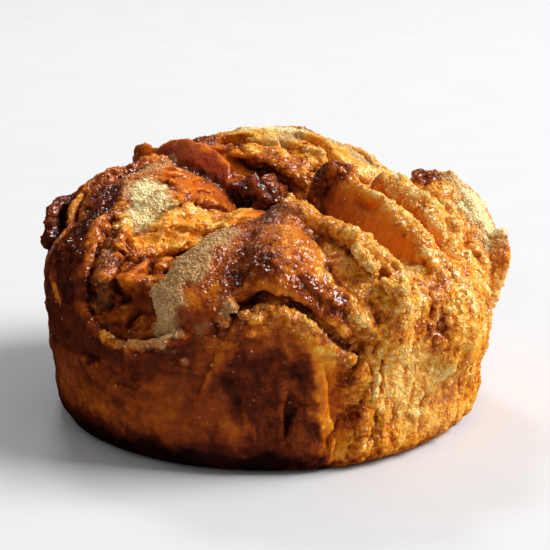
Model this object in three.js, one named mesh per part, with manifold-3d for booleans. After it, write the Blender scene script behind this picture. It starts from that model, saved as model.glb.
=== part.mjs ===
// Kouign amann: a round of laminated, sugared dough baked in a ring. The dough's four corners are
// folded to the middle, so the top opens as four petals round a hollow, and the layers show as
// ridges, lips and curls. It is one closed solid, with crags and flakes in relief.
// Millimetres, +Z up, +X right, the shown side towards -Y. Origin at the bottom centre.

import * as THREE from 'three';
import { mergeVertices } from 'three/addons/utils/BufferGeometryUtils.js';
import { ImprovedNoise } from 'three/addons/math/ImprovedNoise.js';
import Module from 'manifold-3d';

// ---------- driving sizes ----------
const FOOT_RADIUS = 41.8; // flat underside
const BASE_RADIUS = 45.2; // wall just above the rounded bottom edge
const RIM_RADIUS = 46.8; // wall at the rim, before the petals swell over it
const FRONT_SQUASH = 0.99; // the round is this much shallower than it is wide
const FOOT_ROUND = 5; // height of the rounded bottom edge
const WALL_HEIGHT = 33; // where the wall turns in
const FLOOR_HEIGHT = 36; // dough between the petals
const RIM_ROUND = 7; // softness of the turn from wall to top
const AXIS_SHIFT = -2.0; // the round leans over to the left by this much
const PETAL_BLEND = 2.0; // softness where two petals meet
const CRAG_SIZE = 5.5; // size of the larger crags
const CRAG_HEIGHT = 0.85;
const CRAG_STRETCH = 0.8; // below 1, the larger crags stand taller than they are wide
const FINE_CRAGS = 2.1; // how many times finer the second size of crags is
const FINE_SHARE = 0.6; // its height, as a share of the first
const KNOB_CRAG_RATE = 2; // crags across a knob
const KNOB_CRAGS = 0.4; // how uneven the burnt knobs are, as a share of their size
const FLAP_THINNING = 0.5; // how much thinner a flap is at its edge
const FLAP_RAGGED = 0.14; // how ragged its edge is, as a share of its height
const FLAP_RAGGED_RATE = 7; // notches along it
const FLAP_END = 0.06; // how much of its length stays at the thickness of its rounded ends
const FOLD_REACH = 2.5; // how far a fold is felt, in widths
const FOLD_STEP = 1.2; // half the width of the step at its edge
const FOLD_END = 3; // how softly it dies out past its ends
const FOLD_GAIN = 1.5; // makes up for what softening takes off a fold

// ---------- mesh ----------
const AROUND = 102; // columns round the pastry
const FIRST_ROW = 0.7; // height of the lowest row above the underside
const WALL_ROWS = 8;
const TURN_ROWS = 18; // rows over the rim
const TOP_ROWS = 15; // rows from the rim to the middle
const CORE_RADIUS = 31; // inner puck that the rows fan out from
const CORE_HEIGHT = 25;
const OUTSIDE = 62; // farther from the axis, or higher, than any of the crust
const NO_RELIEF_BELOW = 3.5; // the foot stays plain
const LINE_STEPS = 6; // straight pieces between two points of a fold's line
const MARCH_STEP = 0.5; // step of the walk in from outside
const HALVINGS = 12; // times the last step is halved
const SLOPE_STEP = 0.4; // step either way that the crust's slope is read over
const FLAP_SEGMENTS = [10, 1, 5]; // along, through and up a flap
const KNOB_DETAIL = 3; // times a knob's faces are split
const SOFT_PASSES = 2; // times each point of the body is led towards its four neighbours
const SOFT_SHARE = 0.5; // how far, each time
const TINY = 1e-6;
const WELD = 1e-4; // points closer than this are one

// ---------- petals: soft lumps of dough, [centre], [half sizes], turn about Z in degrees ----------
const PETALS = [
  { at: [2, -29, 29], half: [25, 17, 14], turn: 0 }, // front petal
  { at: [1, -31, 35.5], half: [9.5, 15, 11.5], turn: 0 }, // its keel, from the corner down to the arch
  { at: [3, -24, 41], half: [7.5, 7, 8.6], turn: 0 }, // its raised corner
  { at: [8, -26.5, 33], half: [22.8, 4.8, 13.2], turn: -42 }, // its right shoulder
  { at: [-3.2, -25.6, 30], half: [25, 9, 16.2], turn: 42 }, // its left flank
  { at: [-5, -10, 38.5], half: [9, 7, 6], turn: 0 }, // saddle behind it
  { at: [18.5, -6, 33], half: [27, 5.6, 13.4], turn: -59.5 }, // right petal, first ridge
  { at: [11.5, 5.5, 43], half: [4.6, 4.6, 7.2], turn: 0 }, // nose of the first ridge
  { at: [14.6, 0, 40.6], half: [8, 4.2, 8.4], turn: -59.5 }, // between the nose and the ridge
  { at: [26, -1.2, 33], half: [20.3, 5.4, 13.3], turn: -58 }, // second ridge
  { at: [34.5, 7, 33], half: [12.5, 14, 14.2], turn: 0 }, // outer shoulder of the right petal
  { at: [30, -20.5, 26], half: [12.5, 14, 14], turn: 30 }, // front right corner of the wall
  { at: [-4, 29, 36], half: [33, 17, 16.5], turn: 0 }, // back petal
  { at: [1.5, 33, 44], half: [13, 10, 8.8], turn: 10 }, // sugary crown of the back petal
  { at: [17, 29, 33], half: [13, 12, 11], turn: -20 }, // its right end
  { at: [-27, 8, 34], half: [20.5, 21, 15], turn: 10 }, // left petal
  { at: [-21, -8, 35], half: [16, 9, 10], turn: 25 }, // torn inside of the left petal
  { at: [-35, -13, 30], half: [12, 15, 13.5], turn: 15 }, // outer layers of the left petal
];

// ---------- hollows pressed or torn into the dough ----------
const HOLLOWS = [
  { at: [-1, 6, 50], half: [9, 9, 7.5], turn: 0 }, // middle, where the four corners meet
  { at: [16.5, -21.5, 50], half: [21, 5, 14], turn: -48 }, // trough between front and right petals
  { at: [-20, -24, 50.5], half: [17, 5.4, 12], turn: 46 }, // trough between front and left petals
  { at: [-32, 27, 50], half: [16, 4, 10], turn: 145 }, // trough between left and back petals
  { at: [31, 26, 49], half: [17, 4, 11], turn: 48 }, // trough between right and back petals
  { at: [-31, -36, 31.5], half: [11, 7, 6], turn: -48 }, // dark pocket behind the left lip
];

// ---------- folds: an overlapping edge of dough, drawn along the points ----------
// The side on the left of the line, seen from outside, stands proud by lift over a width of swell,
// and the other side sinks by dip over a width of gap. over is how far the edge hangs over.
// A crest has a negative dip and a groove has a negative lift, so that both its sides are alike.
const FOLDS = [
  { // arch under the front petal
    line: [[-17, -43, 29.5], [-11.5, -45.3, 33.7], [-7.8, -45.4, 36.4], [-2.6, -46, 38.4], [2.6, -45.6, 36.6],
      [10.2, -45, 31.4], [15, -43.5, 28.4], [21, -41.6, 26.4]],
    lift: 1.8, swell: 7, dip: 2.6, gap: 3.2, over: 1.4,
  },
  { // lip of the flap below it
    line: [[20, -41.5, 6], [19.8, -41.5, 16], [15.5, -43.8, 23], [11.2, -45.4, 27], [8, -46, 30.6],
      [4, -46, 33.6], [-2.6, -46, 35.6], [-9, -45.5, 31]],
    lift: 1.6, swell: 4.5, dip: 1.1, gap: 3, over: 0.7,
  },
  { // left edge of the same flap, a soft step down the front
    line: [[-8.5, -45.6, 30.3], [-11, -45.4, 25.6], [-13.8, -43.7, 19.6], [-16, -43.2, 13]],
    lift: 0.8, swell: 5, dip: 0.5, gap: 4, over: 0.1,
  },
  { // torn edge running down the front
    line: [[12, -43.4, 3], [10.4, -44.4, 13], [9.4, -45.2, 20], [8.4, -46, 26]],
    lift: 0.6, swell: 5, dip: 1.3, gap: 5, over: 0.4,
  },
  { // crest along the right edge of the front petal
    line: [[3.9, -24, 49.4], [11.1, -29, 47.2], [15.8, -34, 44.8], [20.7, -38, 41], [24.9, -38.6, 37],
      [29.1, -36, 32.4]],
    lift: 0.8, swell: 3.2, dip: -0.8, gap: 3.2, over: 0,
  },
  { // groove that sets this crest off the petal's face
    line: [[5, -27.5, 47.8], [10, -33, 45.6], [14.6, -38, 42.4], [18.6, -41, 38.8], [22.6, -41.6, 34.6]],
    lift: -0.9, swell: 2.6, dip: 0.9, gap: 2.6, over: 0,
  },
  { // second, lower fold beside it
    line: [[26, -40.5, 30], [24.5, -40.5, 34], [20.5, -41.3, 38.3], [17.6, -39.1, 41.6], [14, -37, 43.6],
      [10, -33.5, 45.6]],
    lift: 0.8, swell: 4, dip: 1.2, gap: 2.8, over: 0.3,
  },
  { // edge of the front petal over the torn inside of the left one
    line: [[-8.5, -23.5, 45], [-13.8, -28, 43], [-18, -32, 40.6], [-21.4, -35, 37.2], [-23.6, -37.2, 33.8],
      [-24.4, -38.4, 31]],
    lift: 0.9, swell: 4, dip: 2.2, gap: 3.4, over: 0.6,
  },
  { // thin lip of the left pocket, rising into a layer of the left petal
    line: [[-16.5, -44, 31], [-21, -43, 28.2], [-26, -40.5, 26], [-31, -37.5, 25.4], [-35.5, -33, 27],
      [-37.8, -28, 31.5], [-37.2, -25, 37], [-35.2, -20, 41.1], [-32.4, -9, 45], [-30.5, 3, 47.6]],
    lift: 1.6, swell: 3.8, dip: 1.8, gap: 2.9, over: 0.9,
  },
  { // layer inside it
    line: [[-29, -32.5, 28.5], [-31.6, -28, 31.5], [-32.2, -25, 36.5], [-30.4, -19, 41], [-27.5, -11, 43.6]],
    lift: 1.1, swell: 3.2, dip: 1.4, gap: 2.8, over: 0.3,
  },
  { // outer layers of the left petal
    line: [[-45.4, -14, 24], [-45.4, -13, 33], [-44.7, -8, 38.6], [-43, 0, 42.6], [-38, 9, 46]],
    lift: 1.2, swell: 3.6, dip: 1.3, gap: 2.6, over: 0.6,
  },
  {
    line: [[-41.4, -26, 28], [-41.2, -22, 36], [-39.6, -16, 41], [-37, -6, 44.2], [-33.6, 2, 46.8]],
    lift: 0.9, swell: 2.8, dip: 1.1, gap: 2.3, over: 0.4,
  },
  { // upper layers of the left petal over its torn inside
    line: [[-29.5, -15, 42], [-26, -9.5, 44.4], [-19, -5.5, 45.4], [-13, -1.5, 44], [-9, 3, 41]],
    lift: 1.2, swell: 3.8, dip: 1.5, gap: 3, over: 0.3,
  },
  { // lower layers, over the pocket
    line: [[-28, -30, 32.5], [-25.4, -25, 36.6], [-19.5, -24, 40], [-14.5, -21, 41.6]],
    lift: 1.1, swell: 3.6, dip: 1.3, gap: 3, over: 0.3,
  },
  { // crest of the first ridge
    line: [[12.1, 4, 49.6], [16.1, -2, 49.4], [20.3, -9, 47.8], [25, -17, 44.9], [29, -24, 41.4],
      [32, -29, 37]],
    lift: 0.7, swell: 3.2, dip: -0.7, gap: 3.2, over: 0,
  },
  { // crest of the second ridge
    line: [[20, 6, 47], [24.4, 1.7, 48], [28.2, -4.4, 46.6], [32.8, -11.8, 43.2], [35.7, -16.8, 38.4],
      [37.4, -20, 33.2]],
    lift: 0.7, swell: 3.2, dip: -0.7, gap: 3.2, over: 0,
  },
  { // groove between the two
    line: [[18, 3.8, 45.6], [22.4, -3, 45], [26.6, -10, 43], [30.6, -17, 39.8], [33.4, -23, 35]],
    lift: -1.8, swell: 2.8, dip: 1.8, gap: 2.8, over: 0,
  },
  { // groove between the second ridge and the outer shoulder
    line: [[29, 3.4, 45.6], [32.6, -3, 44.4], [36.4, -9.4, 41.6], [39.4, -14, 37]],
    lift: -1.4, swell: 2.8, dip: 1.4, gap: 2.8, over: 0,
  },
  { // layers at the rim on the right
    line: [[44, -13, 30], [41.5, -10, 38], [38.5, -5, 43.5], [36.5, 0, 45.4]],
    lift: 0.8, swell: 3.5, dip: 1.4, gap: 2.4, over: 0.3,
  },
  { // crevices of the right wall
    line: [[25.5, -39.5, 22], [24.8, -39.8, 29], [24, -41, 33]],
    lift: 0.8, swell: 4, dip: 1.5, gap: 2.2, over: 0.4,
  },
  {
    line: [[33.5, -34, 24], [30.5, -35, 27.5], [30, -35.5, 31], [33, -33, 34.5]],
    lift: 0.8, swell: 4, dip: 1.5, gap: 2.2, over: 0.4,
  },
  { // slit low on the right
    line: [[33, -32.5, 14], [37.5, -30, 18.5], [40.5, -27, 21.5], [43, -22, 25.5]],
    lift: 0.9, swell: 4, dip: 1.7, gap: 2.6, over: 0.6,
  },
  { // ragged edge over the crown of the back petal
    line: [[-11, 20, 50], [-4, 17.5, 48.6], [3, 16, 46.4], [7, 13, 43.6]],
    lift: 1.4, swell: 4, dip: 1.5, gap: 3.2, over: 0.4,
  },
  {
    line: [[-16, 27, 52], [-6, 24, 52], [4, 23, 51], [14, 22, 48], [20, 18, 44]],
    lift: 0.9, swell: 3.5, dip: 1.2, gap: 2.6, over: 0.6,
  },
  { // arch under the back petal, as at the front
    line: [[28, 36, 22], [21, 41, 29], [9, 45, 35], [-5, 45.5, 35.5], [-17, 43, 31], [-27, 38, 24]],
    lift: 2.0, swell: 8, dip: 2.8, gap: 3, over: 1.8,
  },
  { // layers at the back right
    line: [[28, 16, 45], [34, 24, 40], [37, 30, 31], [34, 34, 20], [31.5, 33.5, 9]],
    lift: 1.4, swell: 5, dip: 1.6, gap: 3, over: 0.8,
  },
  { // layers at the back left
    line: [[-36, 30, 8], [-38.5, 29, 21], [-40.5, 25, 32], [-40, 20, 40], [-33, 14, 46.5]],
    lift: 1.4, swell: 5, dip: 1.6, gap: 3, over: 0.8,
  },
  { // seam down the right wall
    line: [[42, 14, 5], [43.5, 14, 14], [45, 12, 24], [45.5, 9, 34]],
    lift: 1.0, swell: 5, dip: 1.2, gap: 3, over: 0.4,
  },
  { // seam down the left wall
    line: [[-46, 8, 33], [-46.5, 10, 24], [-45.5, 14, 15], [-44.5, 16, 6]],
    lift: 1.0, swell: 5, dip: 1.2, gap: 3, over: 0.4,
  },
];

// ---------- thin flaps of dough that stand free: foot line, edge line, thickness ----------
const FLAPS = [
  { // burnt curl at the left
    foot: [[-43.5, -5, 35], [-44, 1, 37], [-42.5, 7, 39]],
    edge: [[-48.2, -4, 38.5], [-48.6, 1, 41], [-45.5, 7, 43.6]], thick: 3.4,
  },
  { // thin flake at the right
    foot: [[43.5, -6, 24], [44, -4, 31], [43, -2, 37]],
    edge: [[46.4, -6.5, 24], [49, -4.5, 33], [49.2, -2.5, 38.4]], thick: 2.0,
  },
  { // smooth curled flap of the back petal
    foot: [[-27, 24, 42], [-19, 18, 42], [-10, 14, 42]],
    edge: [[-27.5, 27, 50.6], [-19.5, 22, 52.4], [-10, 17, 49.5]], thick: 3,
  },
  { // torn tip at the back left
    foot: [[-31, 30, 40], [-28, 29, 41], [-25, 28, 42]],
    edge: [[-32.5, 31, 47.5], [-30, 30, 49.8], [-26, 29, 49]], thick: 2.4,
  },
  { // smaller torn tip in front of it
    foot: [[-32, 12, 44], [-27, 15, 45], [-22, 17, 44]],
    edge: [[-31.5, 12, 49.6], [-26.5, 15, 50.6], [-22, 17.5, 49]], thick: 1.8,
  },
];

// ---------- knobs of burnt dough ----------
const KNOBS = [
  { at: [-4.5, 12, 43], half: [4.6, 3.6, 3.8] }, // glossy knobs in the middle
  { at: [0.4, 12.6, 43], half: [2.8, 2.6, 2.6] },
  { at: [32.2, 5.6, 46], half: [3.8, 2.8, 2.9] }, // on the right shoulder
  { at: [37, 6, 45.6], half: [2.9, 2.8, 2.8] },
  { at: [6.5, 33, 51.4], half: [2.2, 2, 1.8] }, // on the back crown
  { at: [3, -23.6, 47.6], half: [4, 3.4, 2.7] }, // corner of the front petal
];

const noise = new ImprovedNoise();
const radians = THREE.MathUtils.degToRad;
const point = (xyz) => new THREE.Vector3(...xyz);

// Distance to a turned ellipsoid, negative inside it.
function lump(p, { at, half, turn }) {
  const c = Math.cos(radians(turn));
  const s = Math.sin(radians(turn));
  const dx = p.x - at[0];
  const dy = p.y - at[1];
  const q = new THREE.Vector3(c * dx + s * dy, c * dy - s * dx, p.z - at[2]);
  const size = point(half);
  const scaled = q.clone().divide(size);
  const k = scaled.length();
  return k * (k - 1) / Math.max(scaled.divide(size).length(), TINY);
}

// Soft minimum of two distances; a soft maximum is the same turned round.
function softMin(a, b, blend) {
  const h = Math.max(blend - Math.abs(a - b), 0) / blend;
  return Math.min(a, b) - h * h * blend / 4;
}

const softMax = (a, b, blend) => -softMin(-a, -b, blend);

// Wall radius at a height: a quick turn out of the foot, then a slow flare.
function wallRadius(z) {
  const rise = Math.min(z / FOOT_ROUND, 1);
  const foot = FOOT_RADIUS + (BASE_RADIUS - FOOT_RADIUS) * Math.sqrt(1 - (1 - rise) ** 2);
  return foot + (RIM_RADIUS - BASE_RADIUS) * Math.min(z / WALL_HEIGHT, 1);
}

// Distance to the whole crust before folds and crags.
function crust(p) {
  const out = Math.hypot(p.x - AXIS_SHIFT, p.y / FRONT_SQUASH) - wallRadius(Math.max(p.z, 0));
  let d = softMax(out, p.z - FLOOR_HEIGHT, RIM_ROUND);
  for (const petal of PETALS) d = softMin(d, lump(p, petal), PETAL_BLEND);
  for (const hollow of HOLLOWS) d = softMax(d, -lump(p, hollow), PETAL_BLEND);
  return d;
}

function crustNormal(p) {
  const n = new THREE.Vector3();
  for (const axis of ['x', 'y', 'z']) {
    const ahead = p.clone();
    const behind = p.clone();
    ahead[axis] += SLOPE_STEP;
    behind[axis] -= SLOPE_STEP;
    n[axis] = crust(ahead) - crust(behind);
  }
  return n.normalize();
}

// Walks in from outside along a ray and returns where it meets the crust.
function meetCrust(start, way) {
  let far = OUTSIDE - start.dot(way);
  const at = (t) => start.clone().addScaledVector(way, t);
  while (far > MARCH_STEP && crust(at(far)) > 0) far -= MARCH_STEP;
  let near = far;
  far += MARCH_STEP;
  for (let i = 0; i < HALVINGS; i += 1) {
    const mid = (near + far) / 2;
    if (crust(at(mid)) > 0) far = mid;
    else near = mid;
  }
  return at(near);
}

// Each fold's line as short straight pieces.
for (const fold of FOLDS) {
  const curve = new THREE.CatmullRomCurve3(fold.line.map(point));
  fold.path = curve.getSpacedPoints(LINE_STEPS * fold.line.length);
}

const bell = (x, width) => Math.exp(-((x / width) ** 2));

// Moves a crust point by one fold.
function applyFold(p, n, fold) {
  const { path } = fold;
  let best = Infinity;
  let along = 0;
  let foot = null;
  let heading = null;
  for (let i = 0; i + 1 < path.length; i += 1) {
    const piece = path[i + 1].clone().sub(path[i]);
    const t = THREE.MathUtils.clamp(p.clone().sub(path[i]).dot(piece) / piece.lengthSq(), 0, 1);
    const q = path[i].clone().addScaledVector(piece, t);
    const d = q.distanceTo(p);
    if (d < best) {
      best = d;
      along = (i + t) / (path.length - 1);
      foot = q;
      heading = piece;
    }
  }
  if (best > FOLD_REACH * Math.max(fold.swell, fold.gap)) return new THREE.Vector3();
  const left = n.clone().cross(heading).normalize();
  const side = p.clone().sub(foot).dot(left);
  const inside = THREE.MathUtils.clamp(along, TINY, 1 - TINY);
  const taper = Math.sqrt(Math.sin(Math.PI * Math.max(inside, 0.001)));
  const ends = inside === along ? 1 : bell(best, FOLD_END);
  const proud = THREE.MathUtils.smoothstep(side, -FOLD_STEP, FOLD_STEP);
  const up = proud * fold.lift * bell(best, fold.swell) - (1 - proud) * fold.dip * bell(best, fold.gap);
  const move = n.clone().multiplyScalar(up);
  move.addScaledVector(left, -proud * fold.over * bell(best, fold.swell / 2));
  return move.multiplyScalar(FOLD_GAIN * taper * ends);
}

// Crags: two sizes of noise, drawn out a little round the pastry.
function crags(p) {
  const at = p.clone().divideScalar(CRAG_SIZE);
  const large = noise.noise(at.x, at.y, at.z * CRAG_STRETCH);
  at.multiplyScalar(FINE_CRAGS);
  return CRAG_HEIGHT * (large + FINE_SHARE * noise.noise(at.x, at.y, at.z));
}

// Rows of the body as [start radius, start height, way out, way up], from foot to middle.
function bodyRows() {
  const rows = [];
  for (let i = 0; i < WALL_ROWS; i += 1) {
    rows.push([0, FIRST_ROW + (CORE_HEIGHT - FIRST_ROW) * (i / WALL_ROWS), 1, 0]);
  }
  for (let i = 0; i < TURN_ROWS; i += 1) {
    const turn = (Math.PI / 2) * (i / TURN_ROWS);
    rows.push([CORE_RADIUS, CORE_HEIGHT, Math.cos(turn), Math.sin(turn)]);
  }
  for (let i = 0; i < TOP_ROWS; i += 1) rows.push([CORE_RADIUS * (1 - i / TOP_ROWS), CORE_HEIGHT, 0, 1]);
  return rows;
}

const reliefAt = (p) => THREE.MathUtils.smoothstep(p.z, 0, NO_RELIEF_BELOW);

// One point of the body: led out to the crust, then folded.
function crustPoint(out, [r, z, outward, upward]) {
  const start = out.clone().multiplyScalar(r);
  start.z = z;
  const way = out.clone().multiplyScalar(outward);
  way.z = upward;
  const p = meetCrust(start, way);
  const n = crustNormal(p);
  const move = new THREE.Vector3();
  for (const fold of FOLDS) move.add(applyFold(p, n, fold));
  return p.addScaledVector(move, reliefAt(p));
}

// Evens out the teeth that a narrow ridge makes where it runs across the columns.
function soften(columns) {
  const last = columns[0].length - 1;
  return columns.map((column, i) => column.map((p, row) => {
    if (row === 0 || row === last || p.z < NO_RELIEF_BELOW) return p;
    const before = columns[(i + AROUND - 1) % AROUND][row];
    const after = columns[(i + 1) % AROUND][row];
    const mean = before.clone().add(after).add(column[row - 1]).add(column[row + 1]).divideScalar(4);
    return p.clone().lerp(mean, SOFT_SHARE);
  }));
}

// The body: a lathed puck with its rows led out to the crust.
function bodyGeometry() {
  const rows = [...bodyRows(), [0, CORE_HEIGHT, 0, 1]];
  const profile = [new THREE.Vector2(0, 0), new THREE.Vector2(FOOT_RADIUS, 0)];
  for (const [r, z] of rows) profile.push(new THREE.Vector2(r, z));
  const ways = [];
  for (let column = 0; column < AROUND; column += 1) {
    const angle = (2 * Math.PI * column) / AROUND;
    ways.push(new THREE.Vector3(Math.cos(angle), Math.sin(angle), 0));
  }
  let columns = ways.map((out) => rows.map((row) => crustPoint(out, row)));
  for (let pass = 0; pass < SOFT_PASSES; pass += 1) columns = soften(columns);
  for (const p of columns.flat()) p.addScaledVector(crustNormal(p), crags(p) * reliefAt(p));
  const geometry = new THREE.LatheGeometry(profile, AROUND);
  const position = geometry.getAttribute('position');
  for (let column = 0; column <= AROUND; column += 1) {
    const out = ways[column % AROUND];
    const foot = new THREE.Vector3(FOOT_RADIUS * out.x + AXIS_SHIFT, FOOT_RADIUS * FRONT_SQUASH * out.y, 0);
    const points = [new THREE.Vector3(), foot, ...columns[column % AROUND]];
    points.forEach((p, row) => position.setXYZ(column * profile.length + row, p.x, p.y, p.z));
  }
  return geometry;
}

// A thin flap: a box bent between its foot line and its edge line, thinner and ragged at the edge.
function flapGeometry({ foot, edge, thick }) {
  const low = new THREE.CatmullRomCurve3(foot.map(point));
  const high = new THREE.CatmullRomCurve3(edge.map(point));
  const geometry = new THREE.BoxGeometry(1, 1, 1, ...FLAP_SEGMENTS);
  const position = geometry.getAttribute('position');
  for (let i = 0; i < position.count; i += 1) {
    const u = position.getX(i) + 0.5;
    const across = position.getY(i);
    const v = position.getZ(i) + 0.5;
    const a = low.getPoint(u);
    const b = high.getPoint(u);
    const ragged = 1 + FLAP_RAGGED * v * noise.noise(FLAP_RAGGED_RATE * u + edge[0][0], edge[0][1] / 2, 0);
    const middle = a.clone().lerp(b, v * ragged);
    const heading = low.getTangent(u);
    const normal = heading.cross(b.clone().sub(a)).normalize();
    const round = Math.sqrt(Math.sin(Math.PI * THREE.MathUtils.clamp(u, FLAP_END, 1 - FLAP_END)));
    middle.addScaledVector(normal, across * thick * (1 - FLAP_THINNING * v) * round);
    position.setXYZ(i, middle.x, middle.y, middle.z);
  }
  return geometry;
}

function knobGeometry({ at, half }) {
  const geometry = new THREE.IcosahedronGeometry(1, KNOB_DETAIL);
  const position = geometry.getAttribute('position');
  for (let i = 0; i < position.count; i += 1) {
    const p = new THREE.Vector3().fromBufferAttribute(position, i);
    const q = p.clone().multiplyScalar(KNOB_CRAG_RATE);
    const bump = 1 + KNOB_CRAGS * noise.noise(q.x + at[0], q.y, q.z + at[2]);
    p.multiply(point(half)).multiplyScalar(bump).add(point(at));
    position.setXYZ(i, p.x, p.y, p.z);
  }
  return geometry;
}

const wasm = await Module();
wasm.setup();

// A closed geometry as a solid, turned face outwards if it came inside out.
function solid(geometry) {
  geometry.deleteAttribute('normal');
  geometry.deleteAttribute('uv');
  const merged = mergeVertices(geometry, WELD);
  const triangles = [];
  const index = merged.index.array;
  for (let i = 0; i < index.length; i += 3) {
    const [a, b, c] = index.subarray(i, i + 3);
    if (a !== b && b !== c && c !== a) triangles.push(a, b, c);
  }
  const position = new THREE.BufferAttribute(merged.getAttribute('position').array, 3);
  let volume = 0;
  const [a, b, c] = [new THREE.Vector3(), new THREE.Vector3(), new THREE.Vector3()];
  for (let i = 0; i < triangles.length; i += 3) {
    a.fromBufferAttribute(position, triangles[i]);
    b.fromBufferAttribute(position, triangles[i + 1]);
    c.fromBufferAttribute(position, triangles[i + 2]);
    volume += a.dot(b.cross(c));
  }
  if (volume < 0) triangles.reverse();
  return new wasm.Manifold(new wasm.Mesh({
    numProp: 3,
    vertProperties: new Float32Array(position.array),
    triVerts: new Uint32Array(triangles),
  }));
}

let pastry = solid(bodyGeometry());
for (const flap of FLAPS) pastry = pastry.add(solid(flapGeometry(flap)));
for (const knob of KNOBS) pastry = pastry.add(solid(knobGeometry(knob)));

const result = pastry.getMesh();
const geometry = new THREE.BufferGeometry();
geometry.setAttribute('position', new THREE.BufferAttribute(result.vertProperties, 3));
geometry.setIndex(new THREE.BufferAttribute(result.triVerts, 1));
geometry.computeBoundingBox();
const box = geometry.boundingBox;
geometry.translate(-(box.min.x + box.max.x) / 2, -(box.min.y + box.max.y) / 2, -box.min.z);
geometry.computeVertexNormals();

const crustMaterial = new THREE.MeshStandardMaterial({ color: 0xb4611c, roughness: 0.45, metalness: 0 });
const mesh = new THREE.Mesh(geometry, crustMaterial);
mesh.name = 'pastry';

const group = new THREE.Group();
group.add(mesh);
export default group;
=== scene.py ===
# %% [markdown]
# # Kouign amann
# A kouign amann is a round of bread dough laminated with butter and sugar. Its four corners are folded
# to the middle and it is baked in a ring, so the side is straight and browned, and the top opens as
# four petals with torn layers between them. The sugar melts to caramel where it is hot, and stays as
# pale crystals where it isn't. We first load the frame that holds the plain solid.

# %% Load the frame
import math
from itertools import product
import bpy
import numpy as np
import openvdb
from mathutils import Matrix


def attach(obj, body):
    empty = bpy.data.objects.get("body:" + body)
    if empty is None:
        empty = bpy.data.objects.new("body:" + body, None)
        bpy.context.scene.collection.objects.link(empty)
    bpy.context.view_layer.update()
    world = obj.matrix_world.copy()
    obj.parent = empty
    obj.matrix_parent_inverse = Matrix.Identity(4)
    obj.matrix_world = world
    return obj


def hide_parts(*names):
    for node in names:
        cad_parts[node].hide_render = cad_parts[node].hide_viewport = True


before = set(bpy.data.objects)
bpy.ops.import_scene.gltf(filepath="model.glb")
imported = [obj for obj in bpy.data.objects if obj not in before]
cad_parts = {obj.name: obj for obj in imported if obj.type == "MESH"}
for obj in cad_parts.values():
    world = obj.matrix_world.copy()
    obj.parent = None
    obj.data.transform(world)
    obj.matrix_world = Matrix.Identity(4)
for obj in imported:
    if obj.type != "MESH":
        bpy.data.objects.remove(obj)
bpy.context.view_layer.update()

# %% [markdown]
# The camera looks down a little at the pastry's front, from far enough away that the round isn't
# bent by perspective. We place it before anything else, so that each step can be judged through it.

# %% Camera
MM = 0.001
VIEW_DOWN = math.radians(16.3)
VIEW_FROM = 380.0
LOOK_AT = (-0.2, 0.0, 27.8)
cam_data = bpy.data.cameras.new("camera")
cam_data.lens = 116.0
cam_data.sensor_width = 36.0
camera = bpy.data.objects.new("camera", cam_data)
camera.location = [MM * LOOK_AT[0], MM * (LOOK_AT[1] - VIEW_FROM * math.cos(VIEW_DOWN)),
                   MM * (LOOK_AT[2] + VIEW_FROM * math.sin(VIEW_DOWN))]
camera.rotation_euler = (math.pi / 2 - VIEW_DOWN, 0, 0)
bpy.context.scene.collection.objects.link(camera)
bpy.context.scene.camera = camera
print("camera at", [round(v, 3) for v in camera.location])

# %% [markdown]
# Baked dough is full of overlaps, undercuts and cracks. A mesh pushed along its normals tears at
# those, so the form is kept as a distance field instead: a block of small cells that each hold the
# distance to the crust, negative inside. Lumps, hollows and folds are then simple sums, and the crust
# is skinned once at the end. All sizes are in millimetres.

# %% Sizes of the round
VOXEL = 0.6
FOOT_RADIUS = 41.4
BASE_RADIUS = 45.0
RIM_RADIUS = 46.8
FRONT_SQUASH = 0.99
FOOT_ROUND = 6.5
WALL_HEIGHT = 33.0
FLOOR_HEIGHT = 36.0
RIM_ROUND = 7.0
AXIS_SHIFT = -2.0
PETAL_BLEND = 2.0
TO_MIDDLE = np.array([-0.071, -0.523, 0.0])  # moves the round's box onto the middle of the frame
LOW = np.array([-54.0, -52.0, -2.4])
HIGH = np.array([54.0, 53.0, 59.0])
cells = np.ceil((HIGH - LOW) / VOXEL).astype(int)
steps = [(LOW[i] + VOXEL * np.arange(cells[i])).astype(np.float32) for i in range(3)]
X, Y, Z = np.meshgrid(*steps, indexing="ij", sparse=True)
print("cells in the block:", cells, "in all", int(np.prod(cells)))


# %% Soft joins and lumps
def unit(v):
    return v / np.maximum(np.linalg.norm(v, axis=1, keepdims=True), 1e-6)


def soft_min(a, b, blend):
    h = np.maximum(blend - np.abs(a - b), 0) / blend
    return np.minimum(a, b) - h * h * blend / 4


def soft_max(a, b, blend):
    return -soft_min(-a, -b, blend)


def smooth(x, low, high):
    t = np.clip((x - low) / (high - low), 0, 1)
    return t * t * (3 - 2 * t)


def lump(x, y, z, at, half, turn=0.0):
    """Distance to an ellipsoid turned about the vertical."""
    c, s = math.cos(math.radians(turn)), math.sin(math.radians(turn))
    dx, dy, dz = x - at[0], y - at[1], z - at[2]
    qx, qy = c * dx + s * dy, c * dy - s * dx
    k = np.sqrt((qx / half[0]) ** 2 + (qy / half[1]) ** 2 + (dz / half[2]) ** 2)
    g = np.sqrt((qx / half[0] ** 2) ** 2 + (qy / half[1] ** 2) ** 2 + (dz / half[2] ** 2) ** 2)
    return k * (k - 1) / np.maximum(g, 1e-6)


# %% [markdown]
# Nothing baked is regular, so most steps lean on noise. The first kind is smooth and wavy. The second
# gives each point its distance to the nearest of many scattered seeds, which reads as grains.


# %% Noise
def seeded(seed):
    """A random table for the seed, and a shuffle that gives each cell its own row in it."""
    table = np.random.default_rng(seed)
    return table, np.concatenate([table.permutation(256)] * 2)


def row_of(hop, cell):
    c = cell & 255
    return hop[hop[hop[c[:, 0]] + c[:, 1]] + c[:, 2]]


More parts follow.
